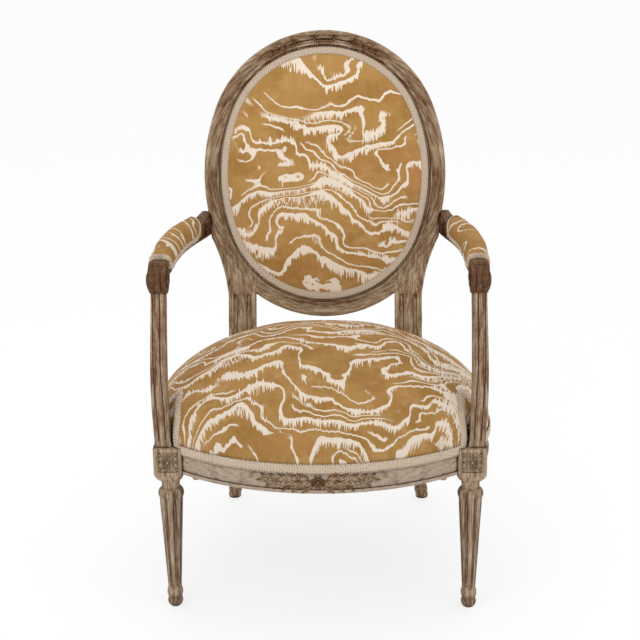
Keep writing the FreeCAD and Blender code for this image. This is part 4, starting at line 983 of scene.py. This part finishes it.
# ribs round the arm scrolls, a band over them and leaves where the arms meet the posts
for side, sign in sides:
    axis = Vector((sign * carveLook["scrollX"], carveLook["scrollY"] - place["shiftY"], carveLook["scrollZ"]))
    reach = carveLook["scrollRadius"]

    def onDrum(x, degrees):
        turn = math.radians(degrees)
        return axis + Vector((sign * x, math.cos(turn) * reach, math.sin(turn) * reach))

    ribs = Carving("arm_rail_" + side)
    ribs.facingAt = lambda point: Vector((0, point.y - axis.y, point.z - axis.z)).normalized()
    for x, width, high in ((-0.0108, 0.0072, 0.0014), (-0.0018, 0.0104, 0.0026), (0.0098, 0.0088, 0.0018)):
        ribs.ridge([onDrum(x, 128 + 126 * share) for share in steps(28)], width, high, 0.15)
    ribs.ridge([onDrum(-0.0148 + 0.0296 * share, 112) for share in steps(12)], 0.0115, 0.0036)
    ribs.ridge([onDrum(-0.0138 + 0.0276 * share, 257) for share in steps(12)], 0.005, 0.002)
    ribs.facingAt = lambda point: Vector((sign, -0.25, 0)).normalized()
    outer, widths = [], []
    for share in steps(12):
        turn = math.radians(140 + 120 * share)
        outer.append(axis + Vector((sign * 0.015, math.cos(turn) * 0.0195, math.sin(turn) * 0.0215)))
        widths.append(0.011 * math.sin(math.pi * (0.12 + 0.8 * share)))
    ribs.ridge(outer, widths, 0.0034, 0.3)
    ribs.done("scroll_ribs_" + side, armWood)

    inward = Vector((-sign * 0.86, -0.42, 0.28)).normalized()
    leaves = Carving("arm_rail_" + side, lambda point: inward)
    for start, end, low, high, width in carveLook["armLeaves"]:
        base, tip = armSpot(start, sign, -0.010, low), armSpot(end, sign, -0.014, high)
        leaves.leaf(base, (tip - base).normalized(), (tip - base).length, width, 0.0042)
    leaves.done("arm_end_leaves_" + side, armWood)

# the two plain sheets: the cloth behind the back, and the lining under the seat
sheetLook = {"thick": 0.0009, "backInset": 0.0375, "backDepth": 0.0232, "backCrown": 0.0024,
             "liningInset": 0.012, "liningHeight": 0.2602, "sag": 0.007, "room": 0.0008,
             "rearBlock": (0.1425, 0.1985, 0.3725)}
print("stretching the plain cloths")


def clothSheet(name, rows, material, slot, node):
    piece = skin(name, [row + [row[0]] for row in rows], False)
    outward(piece)
    applied(piece, "SOLIDIFY", thickness=sheetLook["thick"], offset=0.0)
    outward(piece)
    smoothed(piece, 40)
    return finished(piece, material, slot, node)


def areaOf(line):
    return abs(sum(a[0] * b[1] - b[0] * a[1] for a, b in zip(line, line[1:] + line[:1]))) / 2


def spans(line):
    return [max(point[axis] for point in line) - min(point[axis] for point in line) for axis in (0, 1)]


shares = [1.0, 0.985, 0.96, 0.92] + [0.9 - 0.06 * step for step in range(15)] + [0.0]
line = ovalLine(sheetLook["backInset"])
rows = []
for share in shares:
    depth = sheetLook["backDepth"] + sheetLook["backCrown"] * (1 - share ** 2)
    rows.append([leaned(x * share, depth, z * share) for x, z in line])
outside = clothSheet("outside_back_cloth", rows, plainOchre, "plain_fabric", "outside_back_cover")
clothMap(outside, backMap)
spans(line)
areaOf(line)


def besideLegs(point):  # draws a point of the lining's edge in until it is clear of the legs' blocks
    room = sheetLook["room"]
    low, high, front = sheetLook["rearBlock"]
    for step in range(200):
        spot = middle.lerp(point, 1 - step / 400)
        y = spot.y + place["shiftY"]
        inFront = abs(abs(spot.x) - place["legX"]) < halfBlock + room and abs(y) < halfBlock + room
        behind = low - room < abs(spot.x) < high + room and y > front - room
        if not inFront and not behind:
            return spot
    return point


middle = Vector((0, seatMiddleY))
line = [besideLegs(point) for point in seatLine(-sheetLook["liningInset"])]
rows = []
for share in shares:
    height = sheetLook["liningHeight"] - sheetLook["sag"] * max(0.0, 1 - (share / 0.9) ** 2)
    rows.append([middle.lerp(point, share).to_3d() + Vector((0, 0, height)) for point in line])
lining = clothSheet("seat_lining", rows, blackLining, "lining", "bottom_lining")
spans(line)
areaOf(line)

# stage, camera and light
stageLook = {"floorSize": 160.0, "floorColour": (250, 250, 250), "floorGlow": 0.76, "worldLight": 0.95,
             "seenLight": 0.98}
bpy.ops.object.select_all(action="DESELECT")
bpy.ops.mesh.primitive_plane_add(size=stageLook["floorSize"], location=(0, 40, 0))
floor = settle(bpy.context.object)
floor.name = "floor"
floorMaterial, floorStart, floorShader = begun("pale_floor")
floorShader.inputs["Base Color"].default_value = tint(stageLook["floorColour"])
floorShader.inputs["Roughness"].default_value = 0.9
floorShader.inputs["Specular IOR Level"].default_value = 0.1
floorTree = floorMaterial.node_tree
glow = floorStart.node("Emission", None, {"Color": (1, 1, 1, 1)})
seenDirectly = floorStart.node("LightPath") * stageLook["floorGlow"]
plain = Thread(floorTree, floorShader.outputs[0])
mixed = floorStart.node("MixShader", None, {0: seenDirectly, 1: plain, 2: glow})
floorTree.links.new(mixed.socket, floorTree.nodes["Material Output"].inputs["Surface"])
floor.data.materials.append(floorMaterial)

world = bpy.data.worlds.new("studio")
bpy.context.scene.world = world
world.use_nodes = True
worldTree = world.node_tree
sky = worldTree.nodes["Background"]
seen = Thread(worldTree, None)
rays = [seen.node("LightPath", out="Is " + kind + " Ray") for kind in ("Camera", "Glossy", "Transmission")]
direct = rays[0].most(rays[1].most(rays[2]))
strength = direct * (stageLook["seenLight"] - stageLook["worldLight"]) + stageLook["worldLight"]
sky.inputs["Color"].default_value = (1, 1, 1, 1)
worldTree.links.new(strength.socket, sky.inputs["Strength"])


def softLamp(name, spot, aim, size, power):
    data = bpy.data.lights.new(name, "AREA")
    data.energy, data.size = power, size
    lamp = placed(name, data)
    lamp.location = spot
    lamp.rotation_euler = (Vector(aim) - Vector(spot)).to_track_quat("-Z", "Y").to_euler()


softLamp("key_softbox", (-1.6, -2.6, 2.6), (0, 0, 0.5), 1.8, 22)
softLamp("fill_softbox", (2.4, -2.0, 1.6), (0, 0, 0.5), 2.0, 9)
softLamp("top_softbox", (0.2, 0.4, 3.2), (0, 0, 0.4), 2.0, 12)

# the camera as it was solved from the photograph, whose focal length and middle row are in pixels
cameraLook = {"spot": (0.074543, -2.202072 - place["shiftY"], 1.136), "turn": 1.858, "down": 14.7254,
              "roll": -0.6353, "focal": 1329.6, "middleRow": 309.1, "pixels": 640, "sensor": 36}
camera = placed("camera", bpy.data.cameras.new("camera"))
camera.data.sensor_width = cameraLook["sensor"]
camera.data.lens = cameraLook["focal"] / cameraLook["pixels"] * cameraLook["sensor"]
camera.data.shift_y = -(cameraLook["pixels"] / 2 - cameraLook["middleRow"]) / cameraLook["pixels"]
camera.location = cameraLook["spot"]
camera.rotation_euler = (Matrix.Rotation(math.radians(cameraLook["turn"]), 3, "Z")
                         @ Matrix.Rotation(math.radians(90 - cameraLook["down"]), 3, "X")
                         @ Matrix.Rotation(math.radians(cameraLook["roll"]), 3, "Z")).to_euler()
bpy.context.scene.camera = camera
bpy.context.scene.view_settings.view_transform = "Standard"

print("chair dressed")
